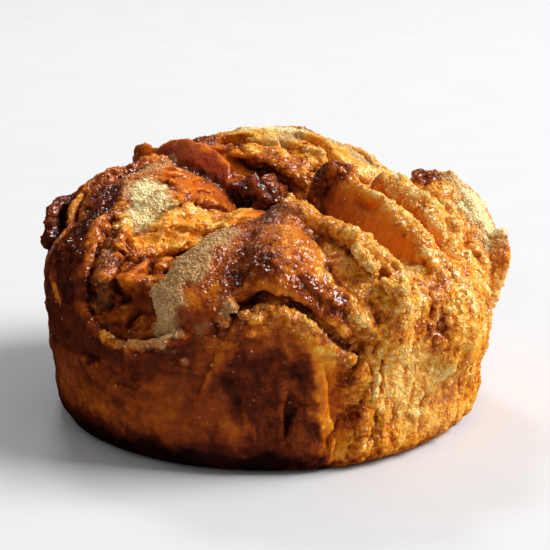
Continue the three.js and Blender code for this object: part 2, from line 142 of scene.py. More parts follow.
def corner_share(value, across, corner):
    """The value times what this corner of a cell counts for, by how far across the cell a point is."""
    for axis, far in enumerate(corner):
        value = value * (across[:, axis] if far else 1 - across[:, axis])
    return value


def lattice_noise(p, size, seed=0):
    """Smooth noise, about -1 to 1, with features of the given size in millimetres."""
    table, hop = seeded(seed)
    ways = unit(table.normal(size=(256, 3)))
    q = p / np.asarray(size, float)
    base = np.floor(q).astype(int)
    f = q - base
    w = f ** 3 * (f * (f * 6 - 15) + 10)
    total = 0
    for corner in product((0, 1), repeat=3):
        g = (ways[row_of(hop, base + corner)] * (f - corner)).sum(1)
        total = total + corner_share(g, w, corner)
    return total * 1.5


def grain_noise(p, size, seed=0):
    """Rounded grains: 1 at the middle of a grain, 0 between grains, and each grain's own random height."""
    table, hop = seeded(seed)
    spots, own = table.random((256, 3)), table.random(256)
    q = p / size
    base = np.floor(q).astype(int)
    best, height = np.full(len(p), 9.0), np.zeros(len(p))
    for step in product((-1, 0, 1), repeat=3):
        cell = base + step
        row = row_of(hop, cell)
        d = ((q - cell - spots[row]) ** 2).sum(1)
        near = d < best
        best[near] = d[near]
        height[near] = own[row[near]]
    return np.clip(1 - best / 0.55, 0, 1) * (0.35 + 0.65 * height)


# %% [markdown]
# The drum has a small flat foot, a rounded bottom edge and a wall that flares slightly to the rim.
# The petals are soft lumps of dough that melt into it, each with its place, half sizes and turn, and
# the hollows between them are pressed out in the same way.

# %% Drum, petals and hollows
PETALS = [
    ([2, -29, 29], [25, 17, 14], 0),  # front petal
    ([1, -31, 35.5], [9.5, 15, 11.5], 0),  # its keel, from the raised corner down to the arch
    ([3, -24, 41], [7.5, 7, 8.6], 0),  # its raised corner
    ([8, -26.5, 33], [22.8, 4.6, 13.2], -42),  # its right shoulder
    ([-3.2, -25.6, 30], [25, 9, 16.2], 42),  # its left flank, under the sugar
    ([-5, -10, 38.5], [9, 7, 6], 0),  # saddle behind it
    ([18.5, -6, 33], [27, 4.6, 13.4], -59.5),  # right petal, first ridge
    ([11.5, 5.5, 43], [4.2, 4.2, 7.0], 0),  # nose of the first ridge
    ([14.6, 0, 40.6], [8, 3.8, 8.2], -59.5),
    ([26, -1.2, 33], [20.3, 4.2, 13.3], -58),  # second ridge
    ([34.5, 7, 33], [12.5, 14, 14.2], 0),  # outer shoulder of the right petal
    ([30, -20.5, 26], [12.5, 14, 14], 30),  # front right corner of the wall
    ([-4, 29, 36], [33, 17, 16.5], 0),  # back petal
    ([1.5, 33, 44], [13, 10, 8.8], 10),  # its sugary crown
    ([17, 29, 33], [13, 12, 11], -20),  # its right end
    ([-27, 8, 34], [20.5, 21, 15], 10),  # left petal
    ([-21, -8, 35], [16, 9, 10], 25),  # torn inside of the left petal
    ([-35, -13, 30], [12, 15, 13.5], 15),  # its outer layers
]
HOLLOWS = [
    ([-1, 6, 50], [9, 9, 7.5], 0),  # the middle, where the four corners meet
    ([16.5, -21.5, 50], [21, 5, 14], -48),  # trough between the front and right petals
    ([-20, -24, 50.5], [17, 5.4, 12], 46),  # between the front and left petals
    ([-32, 27, 50], [16, 4, 10], 145),  # between the left and back petals
    ([31, 26, 49], [17, 4, 11], 48),  # between the right and back petals
    ([-31, -36, 31.5], [11, 7, 6], -48),  # dark pocket behind the left lip
]
rise = np.clip(Z / FOOT_ROUND, 0, 1)
wall = FOOT_RADIUS + (BASE_RADIUS - FOOT_RADIUS) * np.sqrt(1 - (1 - rise) ** 2)
wall = wall + (RIM_RADIUS - BASE_RADIUS) * np.clip(Z / WALL_HEIGHT, 0, 1)
field = soft_max(np.hypot(X - AXIS_SHIFT, Y / FRONT_SQUASH) - wall, Z - FLOOR_HEIGHT, RIM_ROUND)
for at, half, turn in PETALS:
    field = soft_min(field, lump(X, Y, Z, at, half, turn), PETAL_BLEND)
for at, half, turn in HOLLOWS:
    field = soft_max(field, -lump(X, Y, Z, at, half, turn), PETAL_BLEND)
field = field.astype(np.float32)
slope = np.gradient(field, VOXEL)
print("drum with", len(PETALS), "lumps and", len(HOLLOWS), "hollows")

# %% [markdown]
# Each visible edge of dough is a fold: a line on the crust with a proud layer on its left, as seen
# from outside, and a sunken one on its right. The layer's edge leans over the line, and a thin crack
# can run in under it, which gives the dark lines between layers. Ridges and grooves use the same line
# with both sides alike.


# %% Line helpers
def spline(points, count):
    """Catmull-Rom curve through the points, at equal steps."""
    p = np.array(points, float)
    p = np.vstack([2 * p[0] - p[1], p, 2 * p[-1] - p[-2]])
    out = []
    for i in range(1, len(p) - 2):
        t = np.linspace(0, 1, 12, endpoint=False)[:, None]
        a, b, c, d = p[i - 1], p[i], p[i + 1], p[i + 2]
        curve = 2 * b + (c - a) * t + (2 * a - 5 * b + 4 * c - d) * t ** 2 + (3 * b - a - 3 * c + d) * t ** 3
        out.append(0.5 * curve)
    out = np.vstack(out + [p[-2:-1]])
    far = np.concatenate([[0], np.cumsum(np.linalg.norm(np.diff(out, axis=0), axis=1))])
    steps = np.linspace(0, far[-1], count)
    return np.stack([np.interp(steps, far, out[:, i]) for i in range(3)], 1)


def nearest_on(path, p):
    """For each point of p: the nearest point of the path, its heading and how far along it is."""
    a, ab = path[:-1], np.diff(path, axis=0)
    length2 = (ab ** 2).sum(1)
    best = np.full(len(p), np.inf)
    foot, heading, along = np.zeros_like(p), np.zeros_like(p), np.zeros(len(p))
    for i in range(len(a)):
        t = np.clip(((p - a[i]) @ ab[i]) / length2[i], 0, 1)
        q = a[i] + t[:, None] * ab[i]
        d = ((p - q) ** 2).sum(1)
        near = d < best
        best[near] = d[near]
        foot[near] = q[near]
        heading[near] = ab[i]
        along[near] = (i + t[near]) / len(a)
    return np.sqrt(best), foot, heading, along


def block_round(path, reach):
    """The slices of the field within reach of the path."""
    low = np.clip(((path.min(0) - reach - LOW) / VOXEL).astype(int), 0, cells - 1)
    high = np.clip(((path.max(0) + reach - LOW) / VOXEL).astype(int) + 2, 1, cells)
    return tuple(slice(a, b) for a, b in zip(low, high))


def places(part, like):
    """The middle of each cell of a block, as points."""
    return [(0 * like + v) for v in (X[part[0]], Y[:, part[1]], Z[:, :, part[2]])]


def bell(x, width):
    return np.exp(-((x / width) ** 2))


# %% Folds
FOLD_DEPTH = 7  # a fold leaves the cells further than this from the crust alone


def fold(line, lift, swell, dip, gap, over=0.0, crack=0.0, wide=0.7):
    """One edge of dough along the line. crack is how deep a slot runs in under it, wide its width."""
    path = spline(line, 4 * len(line))
    reach = 2.3 * max(swell, gap)
    part = block_round(path, reach)
    d = field[part]
    pick = np.abs(d) < FOLD_DEPTH
    p = np.stack([v[pick] for v in places(part, d)], 1).astype(np.float64)
    n = unit(np.stack([s[part][pick] for s in slope], 1))
    best, foot, heading, along = nearest_on(path, p)
    left = unit(np.cross(n, heading))
    off = p - foot
    side = (off * left).sum(1)
    flat = np.sqrt(np.maximum(best ** 2 - (off * n).sum(1) ** 2, side ** 2))
    strength = np.sin(np.pi * np.clip(along, 0.002, 0.998)) ** 0.5
    strength *= np.where((along < 0.002) | (along > 0.998), bell(best, 3), 1)
    here = d[pick]
    raised = here - lift * strength * bell(flat, swell)
    sunk = here + dip * strength * bell(flat, gap)
    lean = over / max(lift + max(dip, 0), 0.5)
    across = (side + lean * np.clip(here, -4, 4)) / math.hypot(1, lean)
    new = soft_min(sunk, soft_max(raised, -across, 0.7), 0.4)
    if crack:
        half = 0.5 * wide * strength
        slot = np.maximum(np.abs(across + half) - half, -(here + crack * strength))
        new = soft_max(new, -slot, 0.3)
    near = best < reach
    here[near] = new[near]
    d[pick] = here
    field[part] = d


def even(height, width):
    """A ridge, or a groove where the height is negative, with both sides alike."""
    return dict(lift=height, swell=width, dip=-height, gap=width)


CREVICE = dict(lift=1.0, swell=4, dip=1.8, gap=2.2, over=0.8, crack=3, wide=1.0)
BACK_LAYER = dict(lift=1.4, swell=5, dip=1.6, gap=3, over=1.2, crack=3)
SEAM = dict(lift=1.0, swell=5, dip=1.2, gap=3, over=0.7, crack=2)
FOLDS = [
    # arch under the front petal
    ([[-17, -43, 29.5], [-11.5, -45.3, 33.7], [-7.8, -45.4, 36.4], [-2.6, -46, 38.4], [2.6, -45.6, 36.6],
      [10.2, -45, 31.4], [15, -43.5, 28.4], [21, -41.6, 26.4]],
     dict(lift=1.8, swell=6, dip=1.2, gap=3.0, over=0.5)),
    # lip of the flap below it
    ([[20, -41.5, 6], [19.8, -41.5, 16], [15.5, -43.8, 23], [11.2, -45.4, 27], [8, -46, 30.6],
      [4, -46, 33.6], [-2.6, -46, 35.6], [-9, -45.5, 31]],
     dict(lift=1.5, swell=4.5, dip=0.9, gap=3, over=0.7, crack=0.5)),
    # left edge of the same flap, a soft step down the front
    ([[-8.5, -45.6, 30.3], [-11, -45.4, 25.6], [-13.8, -43.7, 19.6], [-16, -43.2, 13]],
     dict(lift=0.8, swell=5, dip=0.4, gap=4, over=0.1)),
    # torn edge running down the front
    ([[12, -43.4, 3], [10.4, -44.4, 13], [9.4, -45.2, 20], [8.4, -46, 26]],
     dict(lift=0.8, swell=4, dip=1.2, gap=4, over=0.5)),
    # ridge along the right edge of the front petal
    ([[3.9, -24, 49.4], [11.1, -29, 47.2], [15.8, -34, 44.8], [20.7, -38, 41], [24.9, -38.6, 37],
      [29.1, -36, 32.4]],
     even(1.5, 2.0)),
    # second, lower fold beside it
    ([[26, -40.5, 30], [24.5, -40.5, 34], [20.5, -41.3, 38.3], [17.6, -39.1, 41.6], [14, -37, 43.6],
      [10, -33.5, 45.6]],
     dict(lift=1.2, swell=4, dip=1.7, gap=2.4, over=1.1, crack=2.5)),
    # crease on the face of the front petal, and the soft edge of its shaded side
    ([[14, -43.6, 38], [11.6, -41.8, 41.3], [9.4, -38.4, 43.8]],
     dict(lift=0.3, swell=3.0, dip=0.5, gap=1.6, over=0.2)),
    ([[1.5, -42.6, 42.4], [5.6, -45.4, 39.6], [10.4, -45.6, 36], [15, -45, 32.6]],
     dict(lift=0.4, swell=4.5, dip=0.5, gap=3.0)),
    ([[9, -32, 46.4], [14.6, -38.6, 43.4], [19, -41.6, 39.6], [23, -41, 35.2]],
     dict(lift=0.7, swell=2.2, dip=0.8, gap=1.5, over=0.4)),
    # small bright fold beside the arch
    ([[13.4, -45.4, 34.2], [16.8, -43.6, 30.6], [20.8, -41.3, 27]],
     dict(lift=0.9, swell=2.4, dip=0.9, gap=1.8, over=0.4)),
    # edge of the front petal over the torn inside of the left one, under the sugar
    ([[-8.5, -23.5, 45], [-13.8, -28, 43], [-18, -32, 40.6], [-21.4, -35, 37.2], [-23.6, -37.2, 33.8],
      [-24.4, -38.4, 31]],
     dict(lift=0.9, swell=4, dip=2.2, gap=3.4, over=0.8, crack=1.5, wide=0.8)),
    # thin lip of the left pocket, rising into a layer of the left petal
    ([[-16.5, -44, 31], [-21, -43, 28.2], [-26, -40.5, 26], [-31, -37.5, 25.4], [-35.5, -33, 27],
      [-37.6, -30, 30]],
     dict(lift=1.4, swell=3.0, dip=1.7, gap=2.7, over=0.8)),
    ([[-36.8, -30.5, 28.5], [-37.8, -28, 31.5], [-37.2, -25, 37], [-35.2, -20, 41.1], [-32.4, -9, 45],
      [-30.5, 3, 47.6]],
     dict(lift=0.8, swell=2.4, dip=1.4, gap=2.0, over=0.8)),
    # layer inside it
    ([[-29, -32.5, 28.5], [-31.6, -28, 31.5], [-32.2, -25, 36.5], [-30.4, -19, 41], [-27.5, -11, 43.6]],
     dict(lift=1.1, swell=2.6, dip=1.5, gap=2.2, over=0.7, crack=0.6, wide=0.6)),
    # outer layers of the left petal
    ([[-45.4, -14, 24], [-45.4, -13, 33], [-44.7, -8, 38.6], [-43, 0, 42.6], [-38, 9, 46]],
     dict(lift=0.9, swell=2.4, dip=1.0, gap=2.0, over=0.7)),
    # upper layers of the left petal over its torn inside
    ([[-29.5, -15, 42], [-26, -9.5, 44.4], [-19, -5.5, 45.4], [-13, -1.5, 44], [-9, 3, 41]],
     dict(lift=1.4, swell=3.4, dip=1.6, gap=2.6, over=1.0, crack=1.6, wide=0.8)),
    # lower layers, over the pocket
    ([[-28, -30, 32.5], [-25.4, -25, 36.6], [-19.5, -24, 40], [-14.5, -21, 41.6]],
     dict(lift=1.3, swell=3, dip=1.4, gap=2.4, over=0.9, crack=1.6, wide=0.8)),
    # crests of the right petal's two ridges, and the groove between them
    ([[12.1, 4, 49.6], [16.1, -2, 49.4], [20.3, -9, 47.8], [25, -17, 44.9], [29, -24, 41.4], [32, -29, 37]],
     even(1.7, 1.8)),
    ([[20, 6, 47], [24.4, 1.7, 48], [28.2, -4.4, 46.6], [32.8, -11.8, 43.2], [35.7, -16.8, 38.4],
      [37.4, -20, 33.2]],
     even(1.7, 1.8)),
    ([[18, 3.8, 45.6], [22.4, -3, 45], [26.6, -10, 43], [30.6, -17, 39.8], [33.4, -23, 35]],
     even(-3.0, 2.0)),
    # groove between the second ridge and the outer shoulder
    ([[29, 3.4, 45.6], [32.6, -3, 44.4], [36.4, -9.4, 41.6], [39.4, -14, 37]], even(-2.2, 1.9)),
    # groove that sets the front petal's golden ridge off its face
    ([[5, -27.5, 47.8], [10, -33, 45.6], [14.6, -38, 42.4], [18.6, -41, 38.8], [22.6, -41.6, 34.6]],
     even(-1.5, 1.5)),
    # layers at the rim on the right
    ([[44, -13, 30], [41.5, -10, 38], [38.5, -5, 43.5], [36.5, 0, 45.4]],
     dict(lift=1.0, swell=3.5, dip=1.5, gap=2.4, over=0.8, crack=2)),
    # crevices of the right wall
    ([[25.5, -39.5, 22], [24.8, -39.8, 29], [24, -41, 33]], CREVICE),
    ([[33.5, -34, 24], [30.5, -35, 27.5], [30, -35.5, 31], [33, -33, 34.5]], CREVICE),
    # slit low on the right
    ([[33, -32.5, 14], [37.5, -30, 18.5], [40.5, -27, 21.5], [43, -22, 25.5]],
     dict(lift=1.0, swell=4, dip=1.8, gap=2.4, over=0.9, crack=4, wide=1.6)),
    # ragged edge over the crown of the back petal
    ([[-11, 20, 50], [-4, 17.5, 48.6], [3, 16, 46.4], [7, 13, 43.6]],
     dict(lift=1.8, swell=4, dip=1.8, gap=3, over=1.6, crack=3, wide=0.9)),
    ([[-16, 27, 52], [-6, 24, 52], [4, 23, 51], [14, 22, 48], [20, 18, 44]],
     dict(lift=1.0, swell=3.5, dip=1.3, gap=2.4, over=0.9, crack=2)),
    # arch under the back petal, as at the front
    ([[28, 36, 22], [21, 41, 29], [9, 45, 35], [-5, 45.5, 35.5], [-17, 43, 31], [-27, 38, 24]],
     dict(lift=2.0, swell=8, dip=2.8, gap=3, over=2.2, crack=4, wide=1.2)),
    # layers at the back right and back left
    ([[28, 16, 45], [34, 24, 40], [37, 30, 31], [34, 34, 20], [31.5, 33.5, 9]], BACK_LAYER),
    ([[-36, 30, 8], [-38.5, 29, 21], [-40.5, 25, 32], [-40, 20, 40], [-33, 14, 46.5]], BACK_LAYER),
    # seams down the right and left walls
    ([[43, 14, 5], [44.5, 14, 14], [46, 12, 24], [46.5, 9, 34]], SEAM),
    ([[-46.5, 8, 33], [-47, 10, 24], [-46, 14, 15], [-45, 16, 6]], SEAM),
]
for line, sizes in FOLDS:
    fold(line, **sizes)
print("folds:", len(FOLDS))

# %% [markdown]
# Between the main folds the crust is full of short wrinkles and leaves of dough. They follow the way
# the dough was stretched: up and down the right wall, along the ridges, round the left petal. Each
# family is a seeded draw of starting points on the crust, and each start grows into one small fold.


# %% Families of wrinkles
def sample(block, p):
    """The block's value at each point, smoothly between cells."""
    q = np.clip((p - LOW) / VOXEL, 0, cells - 1.001)
    i = q.astype(int)
    f = q - i
    out = 0
    for corner in product((0, 1), repeat=3):
        out = out + corner_share(1.0, f, corner) * block[tuple((i + corner).T)]
    return out


def slope_at(p):
    return unit(np.stack([sample(s, p) for s in slope], 1))


def wrinkles(seed, count, near, reach, way, length, **sizes):
    """Small folds that start on the crust within reach of the point near and run the given way."""
    draw = np.random.default_rng(seed)
    part = block_round(np.array([near, near], float), reach)
    skin = np.argwhere(np.abs(field[part]) < 0.4) + [s.start for s in part]
    spots = LOW + VOXEL * skin
    spots = spots[(((spots - near) / reach) ** 2).sum(1) < 1]
    for start in spots[draw.choice(len(spots), count, replace=False)]:
        heading = np.array(way, float) + draw.normal(0, 0.28, 3)
        half = length * draw.uniform(0.6, 1.3) / 2
        line = []
        for t in (-1, -0.35, 0.35, 1):
            q = (start + heading / np.linalg.norm(heading) * half * t + draw.normal(0, 0.5, 3))[None]
            for _ in range(3):
                q = q - slope_at(q) * sample(field, q)[:, None]
            line.append(q[0])
        power = draw.uniform(0.6, 1.2)
        if draw.random() < 0.5:
            line = line[::-1]
        fold(line, **{k: v * (power if k in ("lift", "dip") else 1) for k, v in sizes.items()})


LEAF = dict(lift=0.8, swell=2.0, dip=0.8, gap=1.6, over=0.6, crack=0.8, wide=0.6)
STRAND = dict(lift=0.75, swell=1.1, dip=0.75, gap=1.0, over=0.3)
CREASE = dict(lift=0.5, swell=2.4, dip=0.7, gap=1.5, over=0.3)
SOFT = dict(lift=0.35, swell=3.0, dip=0.4, gap=2.4)
FAMILIES = [
    # seed, how many, middle, reach, way, length, kind
    (1, 26, (40, -18, 30), 17, (0.1, 0.0, 1), 12, CREASE),  # right wall
    (2, 10, (30, -36, 18), 14, (0.2, 0.1, 1), 9, CREASE),
    (3, 14, (36, -4, 43), 14, (0.5, -0.6, -0.6), 10, CREASE),  # outer shoulder
    (4, 12, (12, -38, 41), 13, (0.6, -0.4, -0.7), 9, CREASE),  # face of the front petal
    (5, 40, (-20, -14, 42), 13, (0.8, 0.45, 0.3), 13, STRAND),  # torn inside of the left petal
    (6, 12, (-27, -28, 34), 8, (0.5, 0.3, 0.8), 8, STRAND),  # pocket
    (7, 5, (-39, -10, 41), 12, (0.3, 0.8, 0.5), 14, SOFT),  # outer layers of the left petal
    (8, 16, (-36, -30, 18), 18, (0.8, -0.5, 0.2), 14, SOFT),  # left wall
    (9, 22, (12, -44, 14), 11, (0.15, 0, 1), 9, CREASE),  # torn edge down the front
    (10, 20, (0, 24, 50), 15, (0.8, -0.3, -0.1), 9, LEAF),  # crown of the back petal
    (11, 16, (20, 28, 45), 14, (0.8, -0.4, -0.3), 9, LEAF),
    (12, 12, (26, -18, 42), 14, (0.6, -0.7, -0.5), 8, CREASE),  # ridges
    (13, 26, (0, 44, 24), 24, (0.2, 0, 1), 11, CREASE),  # back wall
    (14, 18, (-44, 12, 24), 20, (0.1, 0.5, 0.8), 11, CREASE),
    (15, 16, (42, 16, 24), 20, (0.1, 0.2, 1), 11, CREASE),
    (16, 16, (-24, 12, 48), 13, (0.8, 0.3, 0.1), 9, LEAF),
]
for seed, count, near, reach, way, length, kind in FAMILIES:
    wrinkles(seed, count, near, reach, way, length, **kind)
print("wrinkles:", sum(f[1] for f in FAMILIES))

# %% [markdown]
# Thin flaps stand free of the round: a flake that catches the light, the curled corner of the back
# petal, a torn tip. Each is a sheet of small balls between a foot line and an edge line, thinner at
# the edge, which the field joins into one skin. Burnt curls are strings of balls, and knobs are lumps
# roughened with noise.


# %% Flaps, curls and knobs
def add_balls(centres, radii, blend, crag):
    """Joins a cloud of balls to the crust. blend is how softly, crag how rough the balls are."""
    part = block_round(centres, float(radii.max()) + 3)
    d = field[part]
    p = np.stack([v.ravel() for v in places(part, d)], 1).astype(np.float32)
    near = np.full(len(p), 9, np.float32)
    for c, r in zip(centres.astype(np.float32), radii):
        near = np.minimum(near, np.sqrt(((p - c) ** 2).sum(1)) - r)
    near = near + crag * (lattice_noise(p, 2.2, 31) + 0.6 * lattice_noise(p, 1.2, 32))
    field[part] = soft_min(d, near.reshape(d.shape), blend)


def flap(seed, foot, edge, thick, bow):
    """A thin sheet from its foot to a torn edge. bow is how far it bulges on the way."""
    columns, rows = 40, 14
    low, high = spline(foot, columns), spline(edge, columns)
    steps = np.arange(columns)
    tear = 0.08 * lattice_noise(np.stack([steps, 0 * steps, 0 * steps], 1) + 0.5, 7.0, seed) * 1.5
    centres, radii = [], []
    for i in range(columns):
        across = high[i] - low[i]
        out = np.cross(low[min(i + 1, columns - 1)] - low[max(i - 1, 0)], across)
        out /= np.linalg.norm(out)
        end = math.sin(math.pi * np.clip(i / (columns - 1), 0.08, 0.92)) ** 0.4
        for j in range(rows):
            v = j / (rows - 1)
            up = across * v * (1 + tear[i] * v) * (0.75 + 0.25 * end)
            centres.append(low[i] + up + out * bow * math.sin(math.pi * v))
            radii.append(0.5 * thick * (1 - 0.5 * v) * end)
    add_balls(np.array(centres), np.array(radii), 1.0, 0.3)


FLAPS = [  # seed, foot line, edge line, thickness, bow
    (41, [[44, -6, 24], [44.5, -4, 31], [43.5, -2, 37]],
     [[46.4, -6.5, 23], [49.0, -4.5, 33], [49.3, -2.5, 38.4]], 2.0, 0.0),
    (42, [[-27, 24, 42], [-19, 18, 42], [-10, 14, 42]],
     [[-27.5, 27, 50.6], [-19.5, 22, 52.4], [-10, 17, 49.5]], 3.0, 1.6),
    (43, [[-31, 30, 40], [-28, 29, 41], [-25, 28, 42]],
     [[-32.5, 31, 47.5], [-30, 30, 49.8], [-26, 29, 49]], 2.4, 0.0),
    (44, [[-32, 12, 44], [-27, 15, 45], [-22, 17, 44]],
     [[-31.5, 12, 49.6], [-26.5, 15, 50.6], [-22, 17.5, 49]], 1.8, 0.5),
]
for seed, foot, edge, thick, bow in FLAPS:
    flap(seed, foot, edge, thick, bow)
CURLS = [
    ([[-43.5, 7, 42.6], [-46, 5, 42.4], [-47.6, 1, 40.4], [-47.6, -3, 36.6]], 1.0, 1.7),  # burnt ear, left
    ([[10.4, 5, 46], [12, 4, 49.2], [15, 1, 49.4]], 1.9, 2.2),  # nose of the first ridge
    ([[22, 4, 47], [24.5, 3, 47.8], [27, 0, 47]], 1.4, 1.6),  # nose of the second
]
for line, start, end in CURLS:
    path = spline(line, 16)
    add_balls(path, np.linspace(start, end, 16), 1.4, 0.8)
KNOBS = [  # place and radius
    # in the middle
    ([-6.5, 12, 43.2], 2.3), ([-3.4, 11, 43.8], 2.5), ([-0.5, 12, 43.2], 2.1), ([-5, 13.4, 45.2], 1.7),
    ([-1.8, 12.4, 45.5], 1.5), ([-8.8, 13.5, 43.8], 1.6), ([-3.2, 9.8, 41.6], 2.1),
    # on the right shoulder and the back crown
    ([31.2, 5.6, 46.2], 2.6), ([33.2, 5.8, 46.4], 2.5), ([37, 6, 46], 2.6),
    ([6.5, 33, 51.4], 1.6), ([7.6, 32, 50.4], 1.3),
    # on the corner of the front petal
    ([2.4, -23, 47.8], 2.4), ([5, -25, 47], 1.8), ([0.6, -25.6, 46.6], 1.8),
    # caramel drops on the lip
    ([-3.4, -46.8, 32.6], 1.4), ([-4.4, -46.8, 30.4], 1.2), ([-2.2, -46.8, 30.8], 1.0),
    # sugar lumps
    ([-8.6, -45.6, 35.4], 1.3), ([-10, -45.6, 33.2], 1.5), ([-12.8, -44.6, 31.6], 1.6),
    ([-14.4, -44.2, 30.4], 1.2), ([-17.2, -43.6, 23.6], 1.2), ([-7, -46, 31.4], 1.2),
    ([-5.6, -46.4, 33.4], 1.2),
]
for at, radius in KNOBS:
    add_balls(np.array([at], float), np.array([radius]), 0.7, 0.5 * radius)
field = np.maximum(field, -Z)
print("flaps:", len(FLAPS), "curls:", len(CURLS), "knobs:", len(KNOBS))

# %% [markdown]
# The skin is drawn where the field is zero. Before the block is let go, blurred copies of it tell
# every point how deep it lies in a crease or how far it stands out. Creases get darker colour, partly
# pooled caramel and partly painted shade, and proud edges lighter, partly painted light. The skin is
# then thinned to the size that a piece may have.


# %% Skin the field
def blurred(block, steps):
    """Mean over a cube of 2*steps+1 cells, by running sums."""
    for axis in range(3):
        padded = np.pad(block, [(steps + 1, steps) if i == axis else (0, 0) for i in range(3)], mode="edge")
        total = np.cumsum(padded, axis=axis, dtype=np.float64)
        width = 2 * steps + 1
        upper = np.take(total, range(width, total.shape[axis]), axis=axis)
        lower = np.take(total, range(0, total.shape[axis] - width), axis=axis)
        block = ((upper - lower) / width).astype(np.float32)
    return block


def make_piece(name, p, faces):
    mesh = bpy.data.meshes.new(name)
    mesh.vertices.add(len(p))
    mesh.vertices.foreach_set("co", (p * MM).astype(np.float32).ravel())
    mesh.loops.add(faces.size)
    mesh.loops.foreach_set("vertex_index", faces.astype(np.int32).ravel())
    mesh.polygons.add(len(faces))
    mesh.polygons.foreach_set("loop_start", np.arange(0, faces.size, faces.shape[1], dtype=np.int32))
    mesh.update(calc_edges=True)
    mesh.validate()
    mesh.shade_smooth()
    piece = bpy.data.objects.new(name, mesh)
    bpy.context.scene.collection.objects.link(piece)
    return piece


def take_arrays(mesh):
    p = np.empty(len(mesh.vertices) * 3, np.float32)
    mesh.vertices.foreach_get("co", p)
    mesh.calc_loop_triangles()
    t = np.empty(len(mesh.loop_triangles) * 3, np.int32)
    mesh.loop_triangles.foreach_get("vertices", t)
    return p.reshape(-1, 3).astype(float) / MM, t.reshape(-1, 3)


MOST_TRIANGLES = 192000
BAND = 3.0  # distances further from the skin than this aren't needed to draw it
grid = openvdb.FloatGrid(background=BAND)
grid.copyFromArray(np.clip(field, -BAND, BAND).astype(np.float32))
grid.transform = openvdb.createLinearTransform(voxelSize=VOXEL)
rough_points, rough_faces = grid.convertToQuads(isovalue=0.0)
rough = make_piece("rough_skin", rough_points + LOW, rough_faces)
thin = rough.modifiers.new("thin", "DECIMATE")
thin.ratio = min(1.0, MOST_TRIANGLES / (2 * len(rough_faces)))
points, faces = take_arrays(rough.evaluated_get(bpy.context.evaluated_depsgraph_get()).to_mesh())
bpy.data.objects.remove(rough)
del grid
clipped = np.clip(field, -6, 6)
proud_wide = sample(blurred(blurred(clipped, 4), 4), points)
proud_fine = sample(blurred(blurred(clipped, 1), 2), points)
print("skin:", len(rough_faces), "cells wide, thinned to", len(faces), "triangles")


# %% Normals of the skin
def point_normals(p, f):
    cross = np.cross(p[f[:, 1]] - p[f[:, 0]], p[f[:, 2]] - p[f[:, 0]])
    n = np.zeros_like(p)
    for k in range(3):
        for axis in range(3):
            n[:, axis] += np.bincount(f[:, k], weights=cross[:, axis], minlength=len(p))
    return unit(n)


first, second, third = (points[faces[:, k]] for k in range(3))
volume = np.einsum("ij,ij->i", first, np.cross(second, third)).sum() / 6
if volume < 0:
    faces = faces[:, ::-1]
normals = point_normals(points, faces)
print("volume", round(abs(volume) / 1000), "cm3, turned round:", bool(volume < 0))

# %% [markdown]
# Colour and texture follow zones: burnt tips with painted shade, sugar, clear orange dough, glossy caramel,
# torn layers, crystal crust, and frost with painted glints. Each zone is painted along short strokes on
# the crust, with a width and a soft edge, and the edges are made ragged with noise so that none looks drawn.


# %% Strokes
def stroke_mask(p, strokes, ragged=0.35):
    """How strongly the strokes cover each point. A stroke has a line or a spot, a width and an amount."""
    out = np.zeros(len(p))
    wobble = lattice_noise(p, 3.0, 11) + 0.6 * lattice_noise(p, 1.3, 12)
    for line, width, amount in strokes:
        if np.ndim(line) == 1:
            path = np.array([line, line], float) + [[0, 0, 0], [0, 0, 0.01]]
        else:
            path = spline(line, 5 * len(line))
        near = np.abs(p - path.mean(0)).max(1) < np.ptp(path, axis=0).max() + 2 * width + 2
        d = nearest_on(path, p[near])[0]
        w = amount * smooth(d / width + ragged * wobble[near], 1.25, 0.7)
        out[near] = np.where(np.abs(w) > np.abs(out[near]), w, out[near])
    return out


